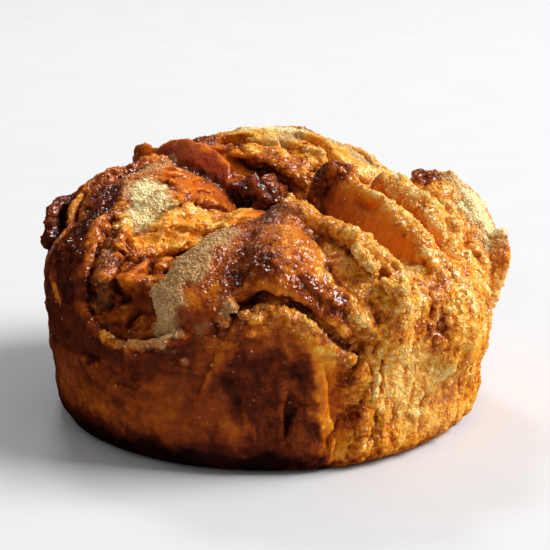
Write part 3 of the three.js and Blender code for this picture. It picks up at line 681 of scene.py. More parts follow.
# %% Where each zone lies
# Lines that several zones share, then for each zone its strokes: line or spot, width and amount
INNER_LAYER = [[-34.4, -27, 29.3], [-34.1, -28.5, 35.1], [-33.3, -23.4, 39.2], [-31.5, -15.8, 42],
    [-30, -7.4, 44]]
POCKET_LIP = [[-18, -43.8, 29.6], [-24, -42, 27], [-30, -38.6, 25.8], [-34, -35, 26.4]]
FRONT_RIDGE = [[2.8, -26.7, 49.7], [5.3, -29.1, 46.5], [8.2, -30.9, 43.9], [12, -35.1, 42.1]]
ARCH_LIP = [[-9, -45.5, 31], [-2.6, -46.4, 35.6], [4, -46.4, 33.6], [8, -46, 30.6]]
# darker strokes: burnt crust, and painted shade on shaded faces, in the pocket and under the edge over the
# arch
BURNT_AND_SHADE = [  # darker, added to bake
    # painted shade on the inner face of the first ridge, which faces away from the window
    ([[13, -2, 44], [18, -8, 42.4]], 4, 0.2),
    ([[-34.4, -27, 31], [-33.3, -23.4, 39.2], [-31.5, -15.8, 42]], 2.4, 0.07),
    ([-26, -27.5, 37], 3.5, 0.1),
    ([[13, -42, 37], [18, -43, 34]], 3.4, 0.08),
    ([[30, -34, 34], [33, -28, 37], [36, -24, 36]], 2.4, 0.1),
    ([[24, -41, 30], [30, -37, 26], [36, -31, 20]], 2.6, 0.1),
    ([[0.2, -23.9, 49.6], [-2.5, -28, 47.2], [-4.8, -35.4, 44.9], [-4, -40.9, 43.5], [-6.6, -42, 40.3]],
      2.8, 0.12),
    ([-4.5, 12, 44], 7, 0.24),
    ([[-26, 24, 47], [-20, 19.5, 48.6], [-14, 15.5, 46.6]], 4.4, 0.5),
    ([[9, 6, 46], [12, 3, 49]], 5, 0.3),
    ([32.2, 5.7, 47.4], 3.6, 0.36),
    ([[-48, -4, 38], [-46, 4, 43]], 4, 0.24),
    ([6.5, 33, 53], 2.6, 0.4),
    ([[-2, -46, 20], [6, -45, 12], [2, -45, 4]], 9, 0.2),
    ([[-9, -45, 25], [3, -46, 29]], 6, 0.02),
    ([[2, -46, 30], [10, -45.4, 25]], 4, 0.07),
    # painted shade: the undercut below the lit band of the front petal, over the arch
    ([[-6.6, -42, 40.3], [-2.4, -43.1, 42.4], [2.3, -45, 40.4], [7, -44.3, 37.4], [11.7, -45.9, 34]], 3.0,
      0.22),
    ([[11, 0, 42], [15, -4, 43]], 4, 0.2),
    ([[-40, -26, 34], [-41, -16, 41], [-36, -2, 46]], 4.5, 0.18),
    # darker left wall, partly painted shade on the side away from the window
    ([[-47, -4, 28], [-42, -24, 22], [-32, -36, 18]], 8, 0.1),
    # painted shade in the pocket behind the left lip and under the lip
    ([[-33, -31, 29], [-27, -33, 31], [-24, -35, 33]], 5, 0.04),
    ([[-40, -27, 27], [-30, -37, 23], [-18, -43, 25]], 3.5, 0.07),
    ([[-45, -16, 34], [-44, -6, 40]], 2.5, 0.1),
]
SUGAR = [  # under pale sugar
    ([[-12, -30, 44.2], [-14.5, -33.5, 42.6], [-17, -36.6, 40.2], [-19.4, -38.9, 37], [-20.8, -40.6, 34.1],
      [-21.4, -41.4, 31]], 4.4, 0.82),
    ([[-27.5, -2, 47.5], [-26, -7, 46], [-27.5, -11, 43.6]], 4.2, 1.0),
    ([[36.5, 7.5, 46.5], [40, 4, 44]], 3.2, 0.9),
    ([[42.6, 1.6, 42.5], [45.6, 0.6, 34]], 4.8, 1.0),
    ([[-6, 31, 53], [4, 32, 53]], 3.6, 0.95),
    ([[0, 24, 51], [6, 27, 51.6]], 2.4, 0.9),
    ([[8, 31, 51], [20, 27, 46]], 3, 0.7),
    ([[-31, 5, 48.7], [-27, 9, 49.6], [-23, 20, 48]], 1.6, 0.5),
    ([[-8.6, -45.6, 35.4], [-10, -45.6, 33.2]], 1.3, 0.5),
    ([[-12.8, -44.6, 31.6], [-14.4, -44.2, 30.4]], 1.2, 0.3),
    ([-17.2, -43.6, 23.6], 0.8, 0.6),
    ([[-3, -25, 48], [3, -24.6, 49.6]], 3, 0.12),
    (INNER_LAYER, 1.4, 0.1),
    ([[-18, -43.8, 29.4], [-24, -42, 26.8], [-30, -38.6, 25.6]], 0.9, 0.3),
    ([[26, -36, 16], [32, -33, 12], [36, -29, 9]], 8, 0.2),
]
CLEAR = [  # clear orange dough, with no crust on it
    ([[16, -5, 43], [21, -12, 41], [27, -20, 38]], 6.5, 1.0),
    ([[-27, 25, 48], [-18, 21, 50], [-10, 17, 48]], 5, 1.0),
    ([[-21, 8, 48], [-16, 3, 47]], 5.5, 0.8),
    ([[-10, -12, 45], [2, -14, 45]], 4, 0.8),
    ([[-29, -29, 36], [-25, -27, 37], [-21, -29, 38]], 3.2, 0.8),
    ([[42, -26, 23], [38, -31, 19]], 2.5, 0.7),
    ([[9.4, -46, 27], [10.6, -45, 18], [12.4, -43.6, 8]], 2.6, 0.6),
    ([[-26, -16, 42], [-18, -15, 42], [-11, -12, 43]], 6, 0.4),
]
FLAKY = [  # torn into thin layers
    ([[-28, -12, 43], [-18, -12, 43], [-10, -8, 44]], 8, 1.0),
    ([[-3, 20, 49], [6, 18, 47]], 6, 0.7),
]
PALE = [  # lighter, or darker where the amount is negative
    ([[-26, -14, 43], [-17, -13, 43], [-10, -10, 43]], 6, 0.34),
    ([[9, -46, 26], [10, -44.5, 14], [12, -43, 4]], 2.4, 0.18),
    ([[-2, -46.6, 33], [6, -46, 31]], 4, 0.1),
    (POCKET_LIP, 1.4, 0.18),
    # pale rim along the outer edge of the left petal: partly pale dough, partly a painted highlight
    ([[-43.8, -23.7, 29.4], [-44.9, -16.2, 33.6], [-44.6, -10.5, 38.4], [-43.6, -1.6, 41.9],
      [-41.4, 2.8, 44.5]], 1.1, 0.34),
    (ARCH_LIP, 2.0, 0.08),
    (FRONT_RIDGE + [[15.6, -40.3, 39.6]], 3.0, 0.03),
    ([[-42, -20, 14], [-34, -32, 13], [-22, -41, 12]], 6, 0.1),
    ([[-18, -43, 11], [-8, -45, 11]], 4, 0.06),
    ([[-14, -44, 21], [-10, -45.5, 27]], 2.5, 0.12),
    ([[14, -45, 27], [14, -44, 20], [17, -43, 12], [17, -42, 5]], 5, -0.11),
    ([[6, -46, 24], [10, -45, 14]], 6, -0.06),
    ([[6, -27, 48.6], [13, -33, 46.4], [20, -39, 42], [28, -38, 35]], 3.0, 0.04),
    ([[6, -34, 46], [14, -41, 41], [22, -42, 35]], 8, 0.02),
    ([[28, -28, 36], [24, -36, 36]], 6, 0.06),
    ([[24, -38, 20], [30, -34, 14]], 8, 0.14),
    ([[36, -24, 36], [42, -20, 28], [38, -28, 24]], 8, 0.1),
    ([[-4, 30, 53], [14, 28, 48], [26, 26, 43]], 10, 0.28),
    ([[12, -1, 50], [20, -9, 48], [28, -21, 42]], 3, 0.15),
    ([[25, 2, 48], [31, -8, 44], [35, -17, 40]], 3, 0.15),
]
# pale frost strokes: painted light on the lit band of the front petal, painted glints on its corner and on
# the arch lip
FROST_AND_PAINTED_LIGHT = [  # whitened ridges
    (FRONT_RIDGE, 3.4, 0.65),
    ([[0.2, -23.9, 49.6], [-2.5, -28, 47.2], [-4.8, -35.4, 44.9]], 2.6, 0.8),
    ([[-9, -45.5, 32], [-2.6, -46.6, 35], [4, -46.6, 33.4], [8, -46, 30.6]], 2.4, 0.8),
]
GRAINY = [  # edges where sugar baked on as grains
    (ARCH_LIP + [[11.2, -45.4, 27]], 3.0, 0.9),
    (INNER_LAYER, 3.4, 0.9),
    (POCKET_LIP, 2.0, 0.9),
]
burnt_and_shade = stroke_mask(points, BURNT_AND_SHADE)
pale = stroke_mask(points, PALE, 0.5)
sugar = stroke_mask(points, SUGAR, 0.45)
clear = stroke_mask(points, CLEAR, 0.25)
flaky = stroke_mask(points, FLAKY, 0.3)
print("share of the crust under sugar:", round(float((sugar > 0.5).mean()), 3))

# %% [markdown]
# How brown each point is starts from where it stands. It is darker on the left wall and lighter to the
# right, partly the crust's own tone and partly painted shade away from the window and painted light
# towards it. Creases are darker and proud edges lighter, partly caramel and partly painted shade and
# light, and the foot is burnt where it stood on the tray. Soft noise and the strokes then lean it either way.

# %% Bake
right = smooth(points[:, 0] - 0.25 * points[:, 1], -6, 34)
wallness = smooth(1 - normals[:, 2], 0.35, 0.8) * smooth(np.hypot(points[:, 0], points[:, 1]), 34, 41)
left_wall = wallness * (1 - right)
right_wall = wallness * right
# darker on the left wall and lighter to the right: partly the crust's own tone, partly painted shade away
# from the window and painted light towards it
bake = 0.57 + 0.10 * left_wall - 0.28 * right + 0.03 * right_wall
# darker in creases, partly pooled caramel and partly painted crease shade; lighter on proud edges, partly
# painted light
bake += 0.12 * smooth(-proud_wide, 0.1, 1.6) + 0.14 * smooth(-proud_fine, 0.05, 0.5)
bake -= 0.12 * smooth(proud_fine, 0.05, 0.5) + 0.08 * smooth(proud_fine, 0.4, 1.0)
calm = 1 - 0.85 * left_wall
bake += calm * (0.08 * lattice_noise(points, 9, 21) + 0.14 * lattice_noise(points, 3.6, 22))
turn = np.arctan2(points[:, 1], points[:, 0]) * RIM_RADIUS
unrolled = np.stack([turn, points[:, 2], 0 * turn], 1) + 2.5 * lattice_noise(points, 12, 28)[:, None]
rings = lattice_noise(unrolled, (11, 2.4, 9), 29) + 0.6 * lattice_noise(unrolled, (6, 1.3, 9), 30)
drapes = lattice_noise(unrolled, (2.0, 8, 9), 33)
bake += 0.05 * rings * left_wall + 0.14 * drapes * right_wall
ragged_height = points[:, 2] + 1.5 * lattice_noise(points, 6, 23)
bake += (0.34 - 0.08 * right) * smooth(ragged_height, 9.0 - 4.5 * right, 1.5 - 0.5 * right)
bake += burnt_and_shade - pale
CLEAR_BAKE = 0.4
bake = bake * (1 - 0.5 * clear) + CLEAR_BAKE * 0.5 * clear
print("mean bake:", round(float(bake.mean()), 2))

# %% [markdown]
# Crystal crust is where sugar baked on as grains, more of it at the right. Gloss is where it set as
# caramel. From these come the amounts of loose grains, beads and flakes that are scattered later, and
# the frost that whitens the ridges: pale sugar frost with painted glints and painted light.

# %% Crystal, gloss and grains
crystal = np.clip(0.42 + 0.58 * right + 0.35 * lattice_noise(points, 7, 24), 0, 1) * (1 - 0.85 * clear)
crystal *= 1 - 0.7 * wallness * (1 - smooth(points[:, 0], 4, 16))
crystal = np.maximum(crystal, stroke_mask(points, GRAINY))
gloss = 0.7 + 0.25 * smooth(bake, 0.35, 0.8) + 0.4 * lattice_noise(points, 5, 25)
gloss -= 0.8 * sugar + wallness * (0.5 - 0.3 * right) + 0.3 * clear
gloss = np.clip(gloss, 0, 1)
patches = smooth(lattice_noise(points, 4.5, 26) + 0.5 * lattice_noise(points, 2.0, 27), -0.1, 0.5)
high = smooth(points[:, 2], 6, 26)
off_floor = smooth(points[:, 2], 1.5, 4)
sugar_amount = np.maximum(smooth(sugar, 0.2, 0.7), 0.12 * crystal * patches * high) * off_floor
bead_amount = (0.2 + 0.8 * patches) * (1 - sugar) * (1 - 0.9 * clear) * high * (1 - 0.85 * left_wall)
flake_amount = np.clip(0.25 * crystal + 0.75 * flaky, 0, 1) * (0.2 + 0.8 * patches) * high * (1 - wallness)
print("mean crystal:", round(float(crystal.mean()), 2), "mean gloss:", round(float(gloss.mean()), 2))

# %% [markdown]
# Now the crags. Real crust is uneven at every size: soft swells of a centimetre, crags of a few
# millimetres, grains where sugar baked on, and fine wrinkles on the wall. The larger ones are moved
# into the mesh, and the finest stay in the finish. The foot stays flat.

# %% Push the crags into the mesh
swells = 0.45 * lattice_noise(points, 7.5, 1) + 0.22 * lattice_noise(points, 3.6, 2)
ridged = 1 - np.abs(lattice_noise(points, 2.6, 3)) * 2
grit = 0.2 * ridged + 0.45 * grain_noise(points, 1.9, 4) + 0.5 * grain_noise(points, 1.15, 5)
grit_share = 0.2 + 0.8 * crystal
wrinkle = lattice_noise(points, (2.4, 2.4, 8.0), 6)
drift = 2.0 * lattice_noise(points, 8, 7)[:, None]
layers = lattice_noise(points + drift, (9.0, 9.0, 1.7), 8)
push = swells * (1 - 0.6 * clear) + grit * grit_share * (1 - clear) + 0.45 * wrinkle * wallness
push += 0.8 * layers * flaky + 0.2 * layers * (1 - clear)
push *= smooth(points[:, 2], 0.2, 3.0)
# darker in the hollows of the crags and lighter on their tops: partly the crust's own tone, partly painted
# shade and painted light
bake -= (0.45 * (grit - 0.45) + 0.1 * swells) * grit_share * (1 - sugar)
# frost: pale sugar frost with painted glints, strongest on proud edges and on the lit right, none on the
# shaded left wall
frost_and_glint = crystal * (0.3 + 0.7 * patches) * high * (1 - left_wall) * (1 - sugar) * (0.18 + 0.82 * right)
frost_and_glint *= (1 - 0.85 * smooth(burnt_and_shade, 0.08, 0.2)) * (0.4 + 1.2 * smooth(proud_fine, -0.2, 0.5))
points = points + normals * push[:, None]
points[:, 2] = np.maximum(points[:, 2], 0)
points += TO_MIDDLE
frost_and_glint = np.maximum(frost_and_glint, stroke_mask(points, FROST_AND_PAINTED_LIGHT))
print("crags from", round(float(push.min()), 2), "to", round(float(push.max()), 2), "mm")


# %% Build the crust object
def paint(piece, name, *channels):
    """Stores up to three values at each point as one colour attribute."""
    layer = piece.data.attributes.new(name, "FLOAT_COLOR", "POINT")
    rgba = np.ones((len(piece.data.vertices), 4), np.float32)
    for i, values in enumerate(channels):
        rgba[:, i] = np.clip(values, 0, 1)
    layer.data.foreach_set("color", rgba.ravel())


crust = make_piece("crust", points, faces)
paint(crust, "bake_zones", bake, sugar, clear)
paint(crust, "skin_zones", gloss, flaky, crystal)
paint(crust, "grain_zones", sugar_amount, bead_amount, flake_amount)
paint(crust, "streak_and_glint_zones", left_wall, right_wall, frost_and_glint)
print("crust:", len(crust.data.polygons), "faces")

# %% [markdown]
# The crust's finish reads those zones. A colour ramp runs from pale dough through gold, amber and
# mahogany to burnt, and fine noise breaks every zone up. Gloss is strong where caramel set, and the
# smallest crystals and wrinkles are bump. The helpers below keep each finish short.


# %% Finish helpers
def srgb(code):
    """A colour from its six-figure code, as the linear values that nodes take."""
    parts = [int(code[i:i + 2], 16) / 255 for i in (0, 2, 4)]
    return tuple(((part + 0.055) / 1.055) ** 2.4 for part in parts) + (1.0,)


def new_material(name):
    material = bpy.data.materials.new(name)
    material.use_nodes = True
    tree = material.node_tree
    tree.nodes.clear()
    out = tree.nodes.new("ShaderNodeOutputMaterial")
    shader = tree.nodes.new("ShaderNodeBsdfPrincipled")
    tree.links.new(shader.outputs[0], out.inputs["Surface"])
    return material, tree, shader


def join_up(tree, source, socket):
    """Links a socket to another, or sets it to a plain value."""
    if hasattr(source, "is_linked"):
        tree.links.new(source, socket)
    else:
        socket.default_value = source


def add_node(tree, kind, links=(), **values):
    node = tree.nodes.new(kind)
    for key, value in values.items():
        setattr(node, key, value)
    for socket, source in links:
        join_up(tree, source, node.inputs[socket])
    return node


def maths(tree, operation, a, b, clamp=False):
    return add_node(tree, "ShaderNodeMath", [(0, a), (1, b)], operation=operation, use_clamp=clamp).outputs[0]


def plus(tree, a, b, clamp=False):
    return maths(tree, "ADD", a, b, clamp)


def times(tree, a, b, clamp=False):
    return maths(tree, "MULTIPLY", a, b, clamp)


def around(tree, value, middle, gain):
    """(value - middle) * gain, to lean another value either way."""
    return times(tree, maths(tree, "SUBTRACT", value, middle), gain)


def vector_maths(tree, operation, vector, links):
    return add_node(tree, "ShaderNodeVectorMath", [(0, vector)] + links, operation=operation).outputs[0]


def mixed(tree, factor, a, b):
    node = add_node(tree, "ShaderNodeMix", [(0, factor), (6, a), (7, b)], data_type="RGBA", clamp_factor=True)
    return node.outputs[2]


def ramp(tree, factor, stops):
    """Colour codes at places from 0 to 1, blended between."""
    node = add_node(tree, "ShaderNodeValToRGB", [(0, factor)])
    while len(node.color_ramp.elements) < len(stops):
        node.color_ramp.elements.new(0.5)
    for element, (at, code) in zip(node.color_ramp.elements, stops):
        element.position = at
        element.color = srgb(code)
    return node.outputs[0]


def noise_tex(tree, vector, size_mm, detail=3.0, rough=0.55, output="Fac"):
    links = [("Vector", vector), ("Scale", 1000.0 / size_mm), ("Detail", detail), ("Roughness", rough)]
    return add_node(tree, "ShaderNodeTexNoise", links).outputs[output]


def stretched(tree, vector, scale):
    return add_node(tree, "ShaderNodeMapping", [("Vector", vector), ("Scale", scale)]).outputs[0]


def bumped(tree, strength, distance_mm, height):
    links = [("Strength", strength), ("Distance", distance_mm * MM), ("Height", height)]
    return add_node(tree, "ShaderNodeBump", links).outputs[0]


def zones(tree, name):
    """The three values that the crust keeps at its points under one name."""
    colour = add_node(tree, "ShaderNodeAttribute", attribute_name=name).outputs["Color"]
    return add_node(tree, "ShaderNodeSeparateColor", [(0, colour)]).outputs[:3]


def let_light_in(shader, weight, radius, depth_mm):
    """Light goes a little way into dough and sugar before it comes out again."""
    shader.inputs["Subsurface Weight"].default_value = weight
    if radius:
        shader.inputs["Subsurface Radius"].default_value = radius
    shader.inputs["Subsurface Scale"].default_value = depth_mm * MM


# %% Sugar tone
def build_sugar_tone():
    """Sugar is brownish where it lies thin and nearly white where it lies thick."""
    group = bpy.data.node_groups.new("sugar_tone", "ShaderNodeTree")
    face = group.interface
    face.new_socket("Grain", in_out="INPUT", socket_type="NodeSocketFloat")
    face.new_socket("Amount", in_out="INPUT", socket_type="NodeSocketFloat")
    face.new_socket("Colour", in_out="OUTPUT", socket_type="NodeSocketColor")
    given = group.nodes.new("NodeGroupInput")
    result = group.nodes.new("NodeGroupOutput")
    thin = ramp(group, given.outputs["Grain"], [(0.3, "AE7C3C"), (0.65, "DAB27C")])
    thick = ramp(group, given.outputs["Grain"], [(0.28, "E0B058"), (0.5, "FFF0B8")])
    depth = around(group, given.outputs["Amount"], 0.84, 8.0)
    group.links.new(mixed(group, depth, thin, thick), result.inputs[0])
    return group


SUGAR_TONE = build_sugar_tone()


def sugar_tone(tree, grain, amount):
    node = add_node(tree, "ShaderNodeGroup", [("Grain", grain), ("Amount", amount)], node_tree=SUGAR_TONE)
    return node.outputs["Colour"]


# %% Crust finish: zones and textures
STIR_MM = 2.2  # the size of the bends in the crystal pattern, and the most that they move it
GRAIN_MM = 0.7
crust_finish, tree, shader = new_material("caramel_crust")
place = add_node(tree, "ShaderNodeTexCoord").outputs["Object"]
s_bake, s_sugar, s_clear = zones(tree, "bake_zones")
s_gloss, s_flaky, s_crystal = zones(tree, "skin_zones")
s_rings, s_drapes, s_frost_glint = zones(tree, "streak_and_glint_zones")
speckle = noise_tex(tree, place, 1.4, 4.0, 0.7)
mottle = noise_tex(tree, place, 5.0, 3.0, 0.6)
strands = noise_tex(tree, stretched(tree, place, (0.25, 0.25, 1.6)), 1.3, 3.0, 0.6)
drips = noise_tex(tree, stretched(tree, place, (1.5, 1.5, 0.3)), 1.6, 3.0, 0.6)
bends = noise_tex(tree, place, STIR_MM, 2.0, 0.5, "Color")
bends = vector_maths(tree, "SCALE", bends, [("Scale", STIR_MM * MM)])
stirred = vector_maths(tree, "ADD", place, [(1, bends)])
grains = add_node(tree, "ShaderNodeTexVoronoi", [("Vector", stirred), ("Scale", 1000.0 / GRAIN_MM)],
                  feature="SMOOTH_F1").outputs["Distance"]
print("crust textures:", len(tree.nodes), "nodes")

# %% Crust finish: colour
level = plus(tree, s_flaky, times(tree, s_rings, 0.15), clamp=True)
uneven = plus(tree, 0.2, times(tree, s_crystal, 0.9))
toasted = s_bake
for texture, middle, gain, share in (
    (speckle, 0.5, 0.6, uneven),
    (mottle, 0.5, 0.4, uneven),
    # darker between the grains and lighter on them: partly the crust's own tone, partly painted shade and
    # painted light
    (grains, 0.4, 0.38, s_crystal),
    (strands, 0.5, 0.8, level),
    (drips, 0.5, 0.5, s_drapes),
):
    toasted = plus(tree, toasted, times(tree, around(tree, texture, middle, gain), share))
caramel = ramp(tree, toasted, [(0.0, "FFDC8A"), (0.15, "FBBA4A"), (0.3, "EA931C"), (0.45, "C86808"),
                               (0.6, "994003"), (0.75, "612003"), (0.9, "300E04"), (1.0, "1C0804")])
clear_dough = ramp(tree, toasted, [(0.1, "FFB62A"), (0.4, "EC7E06"), (0.7, "9C3402")])
colour = mixed(tree, times(tree, s_clear, 0.85), caramel, clear_dough)
# frost over the ridges: pale sugar frost with painted glints and painted light
frost_glint_share = times(tree, around(tree, noise_tex(tree, place, 1.0, 2.0, 0.55), 0.53, 6.0), s_frost_glint, clamp=True)
frost_glint_colour = ramp(tree, s_bake, [(0.2, "FFE2B6"), (0.45, "F6C69A"), (0.65, "C88C6C"), (0.85, "7A4A3C")])
colour = mixed(tree, times(tree, frost_glint_share, 0.65), colour, frost_glint_colour)
sugar_here = times(tree, s_sugar, plus(tree, times(tree, speckle, 1.2), 0.4), clamp=True)
colour = mixed(tree, sugar_here, colour, sugar_tone(tree, speckle, s_sugar))
tree.links.new(colour, shader.inputs["Base Color"])

# %% Crust finish: gloss and bump
matt = maths(tree, "SUBTRACT", 0.6, times(tree, s_gloss, 0.36))
tree.links.new(plus(tree, matt, around(tree, speckle, 0.5, 0.4), clamp=True), shader.inputs["Roughness"])
tree.links.new(times(tree, s_gloss, 0.64), shader.inputs["Coat Weight"])
shader.inputs["Coat Roughness"].default_value = 0.13
shader.inputs["Coat IOR"].default_value = 1.8
shader.inputs["Specular IOR Level"].default_value = 0.12
let_light_in(shader, 0.15, (1.0, 0.4, 0.12), 3.0)
grain_rise = maths(tree, "SUBTRACT", 1.0, grains)
grain_share = plus(tree, times(tree, s_crystal, 0.6), times(tree, s_sugar, 0.5))
height = plus(tree, times(tree, grain_rise, grain_share), times(tree, speckle, 0.8))
height = plus(tree, height, times(tree, times(tree, strands, s_flaky), 0.9))
height = plus(tree, height, times(tree, frost_glint_share, 0.35))
tree.links.new(bumped(tree, 1.0, 1.0, height), shader.inputs["Normal"])
rough_film = maths(tree, "SUBTRACT", 1.0, times(tree, s_clear, 0.85), clamp=True)
ripples = noise_tex(tree, place, 1.4, 1.5, 0.4)
tree.links.new(bumped(tree, rough_film, 1.05, ripples), shader.inputs["Coat Normal"])
crust.data.materials.append(crust_finish)
print("crust finish:", len(tree.nodes), "nodes")

# %% [markdown]
# Sugar sticks to the crust as separate crystals, thick on the pale patches and thin elsewhere, and
# melted sugar stands on it as small glossy beads that catch the light. Both are scattered over the
# crust by Geometry Nodes: a field says how many grains each square millimetre gets, every grain is
# turned and sized at random, and the seed is fixed so that they always land in the same places.


# %% Scatter tree
def zone(group, attribute, channel):
    named = add_node(group, "GeometryNodeInputNamedAttribute", [("Name", attribute)], data_type="FLOAT_COLOR")
    return add_node(group, "FunctionNodeSeparateColor", [(0, named.outputs["Attribute"])]).outputs[channel]


def any_vector(group, low, high, seed):
    links = [("Min", low), ("Max", high), ("Seed", seed)]
    return add_node(group, "FunctionNodeRandomValue", links, data_type="FLOAT_VECTOR").outputs["Value"]


def scatter_tree(name, channel, finish):
    """A node tree that covers its mesh with grains, as thick as one channel of grain_zones says."""
    group = bpy.data.node_groups.new(name, "GeometryNodeTree")
    face = group.interface
    face.new_socket("Mesh", in_out="INPUT", socket_type="NodeSocketGeometry")
    for label in ("Grains per square metre", "Smallest", "Largest", "Thickness", "Tilt"):
        face.new_socket(label, in_out="INPUT", socket_type="NodeSocketFloat")
    face.new_socket("Seed", in_out="INPUT", socket_type="NodeSocketInt")
    face.new_socket("Mesh", in_out="OUTPUT", socket_type="NodeSocketGeometry")
    given = group.nodes.new("NodeGroupInput").outputs
    result = group.nodes.new("NodeGroupOutput")
    full = times(group, zone(group, "grain_zones", channel), given["Grains per square metre"])
    spread = add_node(group, "GeometryNodeDistributePointsOnFaces",
                      [("Mesh", given["Mesh"]), ("Density", full), ("Seed", given["Seed"])])
    lean = any_vector(group, (-1, -1, -1), (1, 1, 1), 3)
    lean = vector_maths(group, "SCALE", lean, [("Scale", given["Tilt"])])
    turned = add_node(group, "FunctionNodeRotateRotation",
                      [("Rotation", spread.outputs["Rotation"]), ("Rotate By", lean)], rotation_space="LOCAL")
    size = add_node(group, "FunctionNodeRandomValue", [(2, given["Smallest"]), (3, given["Largest"])],
                    data_type="FLOAT").outputs[1]
    flat = add_node(group, "ShaderNodeCombineXYZ", [("X", 1.0), ("Y", 1.0), ("Z", given["Thickness"])])
    stretch = any_vector(group, (0.75, 0.75, 0.8), (1.25, 1.25, 1.2), 5)
    stretch = vector_maths(group, "MULTIPLY", stretch, [(1, flat.outputs[0])])
    scale = vector_maths(group, "SCALE", stretch, [("Scale", size)])
    grain = add_node(group, "GeometryNodeMeshIcoSphere", [("Radius", 1.0), ("Subdivisions", 1)])
    placed = add_node(group, "GeometryNodeInstanceOnPoints",
                      [("Points", spread.outputs["Points"]), ("Instance", grain.outputs["Mesh"]),
                       ("Rotation", turned.outputs["Rotation"]), ("Scale", scale)])
    plain = add_node(group, "GeometryNodeRealizeInstances", [("Geometry", placed.outputs[0])])
    coloured = add_node(group, "GeometryNodeSetMaterial",
                        [("Geometry", plain.outputs[0]), ("Material", finish)])
    group.links.new(coloured.outputs[0], result.inputs[0])
    return group


def scatter(name, group, per_mm2, sizes, thickness, tilt, seed):
    """Runs the tree over the crust once and keeps the grains as a plain mesh."""
    over = bpy.data.objects.new(name + "_source", crust.data)
    bpy.context.scene.collection.objects.link(over)
    step = over.modifiers.new("scatter", "NODES")
    step.node_group = group
    labels = {s.name: s.identifier for s in group.interface.items_tree if s.in_out == "INPUT"}
    step[labels["Grains per square metre"]] = per_mm2 / MM ** 2
    step[labels["Smallest"]] = sizes[0] * MM
    step[labels["Largest"]] = sizes[1] * MM
    step[labels["Thickness"]] = thickness
    step[labels["Tilt"]] = tilt
    step[labels["Seed"]] = seed
    mesh = bpy.data.meshes.new_from_object(over.evaluated_get(bpy.context.evaluated_depsgraph_get()))
    bpy.data.objects.remove(over)
    mesh.name = name
    piece = bpy.data.objects.new(name, mesh)
    bpy.context.scene.collection.objects.link(piece)
    print(name, len(mesh.polygons), "faces")
    return piece


# %% Sugar crystals
sugar_finish, tree, shader = new_material("sugar_crystal")
place = add_node(tree, "ShaderNodeTexCoord").outputs["Object"]
s_bake, s_sugar, _ = zones(tree, "bake_zones")
pale_crystal = sugar_tone(tree, noise_tex(tree, place, 0.9, 1.0), s_sugar)
brown_crystal = ramp(tree, s_bake, [(0.15, "FFE0A8"), (0.4, "F4C088"), (0.6, "C88A60"), (0.8, "7A4430")])
tree.links.new(mixed(tree, s_sugar, brown_crystal, pale_crystal), shader.inputs["Base Color"])
shader.inputs["Roughness"].default_value = 0.45
shader.inputs["Specular IOR Level"].default_value = 0.35
let_light_in(shader, 0.25, (1.0, 0.7, 0.4), 1.0)
sugar_tree = scatter_tree("sugar_scatter", 0, sugar_finish)
sugar_grains = scatter("sugar_grains", sugar_tree, per_mm2=4.0, sizes=(0.14, 0.34),
                       thickness=0.8, tilt=3.1, seed=5)

# %% Caramel beads
bead_finish, tree, shader = new_material("caramel_bead")
s_bake = zones(tree, "bake_zones")[0]
bead_colour = ramp(tree, s_bake, [(0.2, "F6B048"), (0.45, "CE7010"), (0.6, "983E06"), (0.8, "541A04")])
tree.links.new(bead_colour, shader.inputs["Base Color"])
shader.inputs["Roughness"].default_value = 0.12
shader.inputs["Coat Weight"].default_value = 0.5
shader.inputs["Coat Roughness"].default_value = 0.06
bead_tree = scatter_tree("bead_scatter", 1, bead_finish)
caramel_beads = scatter("caramel_beads", bead_tree, per_mm2=1.35, sizes=(0.12, 0.3),
                        thickness=0.9, tilt=3.1, seed=9)

# %% [markdown]
# The outermost leaves of dough dry and break into small flakes, which lie loosely on the torn edges.
# They come from the same tree, with a small thickness, so that each grain is a thin shard that leans
# a little off the crust.

# %% Flakes
flake_finish, tree, shader = new_material("dry_flake")
s_bake = zones(tree, "bake_zones")[0]
flake_colour = ramp(tree, s_bake, [(0.15, "F4C97A"), (0.45, "DB8A2A"), (0.75, "8A3E10")])
tree.links.new(flake_colour, shader.inputs["Base Color"])
shader.inputs["Roughness"].default_value = 0.35
let_light_in(shader, 0.2, None, 1.0)
flake_tree = scatter_tree("flake_scatter", 2, flake_finish)
dry_flakes = scatter("dry_flakes", flake_tree, per_mm2=0.3, sizes=(0.3, 0.7),
                     thickness=0.2, tilt=0.9, seed=13)

# %% [markdown]
# The pastry stands on a plain pale surface. One large soft light comes from the right, like a window,
# a small one behind it picks out the glossy edges, and the room's own light keeps the left readable.

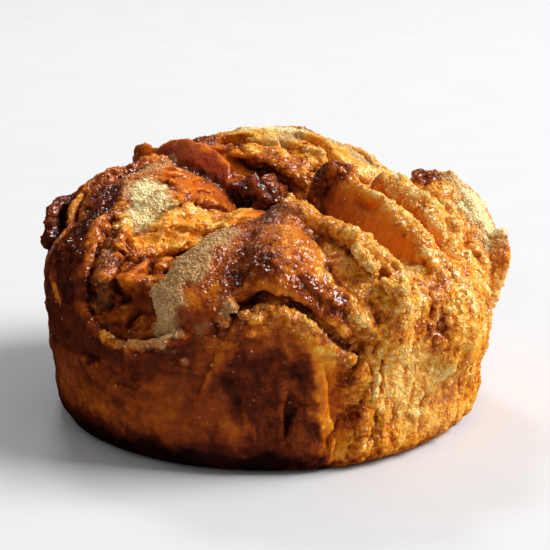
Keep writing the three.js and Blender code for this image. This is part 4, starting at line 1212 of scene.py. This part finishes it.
# %% Floor
FLOOR_HALF = 1500.0
ends = ((-1, -1), (1, -1), (1, 1), (-1, 1))
corners = np.array([[FLOOR_HALF * x, FLOOR_HALF * y, 0] for x, y in ends])
floor = make_piece("floor", corners, np.array([[0, 1, 2, 3]]))
paper, tree, shader = new_material("pale_paper")
paper_place = add_node(tree, "ShaderNodeTexCoord").outputs["Object"]
paper_tone = ramp(tree, noise_tex(tree, paper_place, 25.0), [(0.3, "D5D6DA"), (0.7, "D8D9DD")])
tree.links.new(paper_tone, shader.inputs["Base Color"])
shader.inputs["Roughness"].default_value = 0.9
floor.data.materials.append(paper)
floor.visible_glossy = False
print("floor:", 2 * FLOOR_HALF, "mm across")


# %% Light
def soft_light(name, side, height, far, size, watts, colour=(1, 1, 1)):
    """A rectangle of light, turned to the pastry. side is its bearing in degrees, 0 at the right."""
    data = bpy.data.lights.new(name, "AREA")
    data.shape = "RECTANGLE"
    data.size, data.size_y = size
    data.energy = watts
    data.color = colour
    light = bpy.data.objects.new(name, data)
    a, b = math.radians(side), math.radians(height)
    out = far * math.cos(b)
    light.location = (out * math.cos(a), out * math.sin(a), 0.03 + far * math.sin(b))
    light.rotation_euler = (math.pi / 2 - b, 0, a + math.pi / 2)
    bpy.context.scene.collection.objects.link(light)


soft_light("window", side=-2, height=39, far=2.8, size=(1.5, 1.5), watts=114.0, colour=(1.0, 0.995, 0.97))
soft_light("back_fill", side=105, height=50, far=1.2, size=(0.24, 0.2), watts=3.0)
world = bpy.data.worlds.new("room")
world.use_nodes = True
room = world.node_tree.nodes["Background"]
room.inputs["Color"].default_value = (1.0, 0.975, 0.94, 1)
room.inputs["Strength"].default_value = 0.36
world.cycles_visibility.glossy = False
bpy.context.scene.world = world
bpy.context.scene.view_settings.view_transform = "Standard"
print("lights: window, back fill and room")

# %% [markdown]
# Last, each piece is told which body it rides on, and the plain solid is hidden.

# %% Finish
for piece, slot in ((crust, "crust"), (sugar_grains, "sugar"), (caramel_beads, "crust"),
                    (dry_flakes, "crust")):
    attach(piece, "root")
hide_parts("pastry")
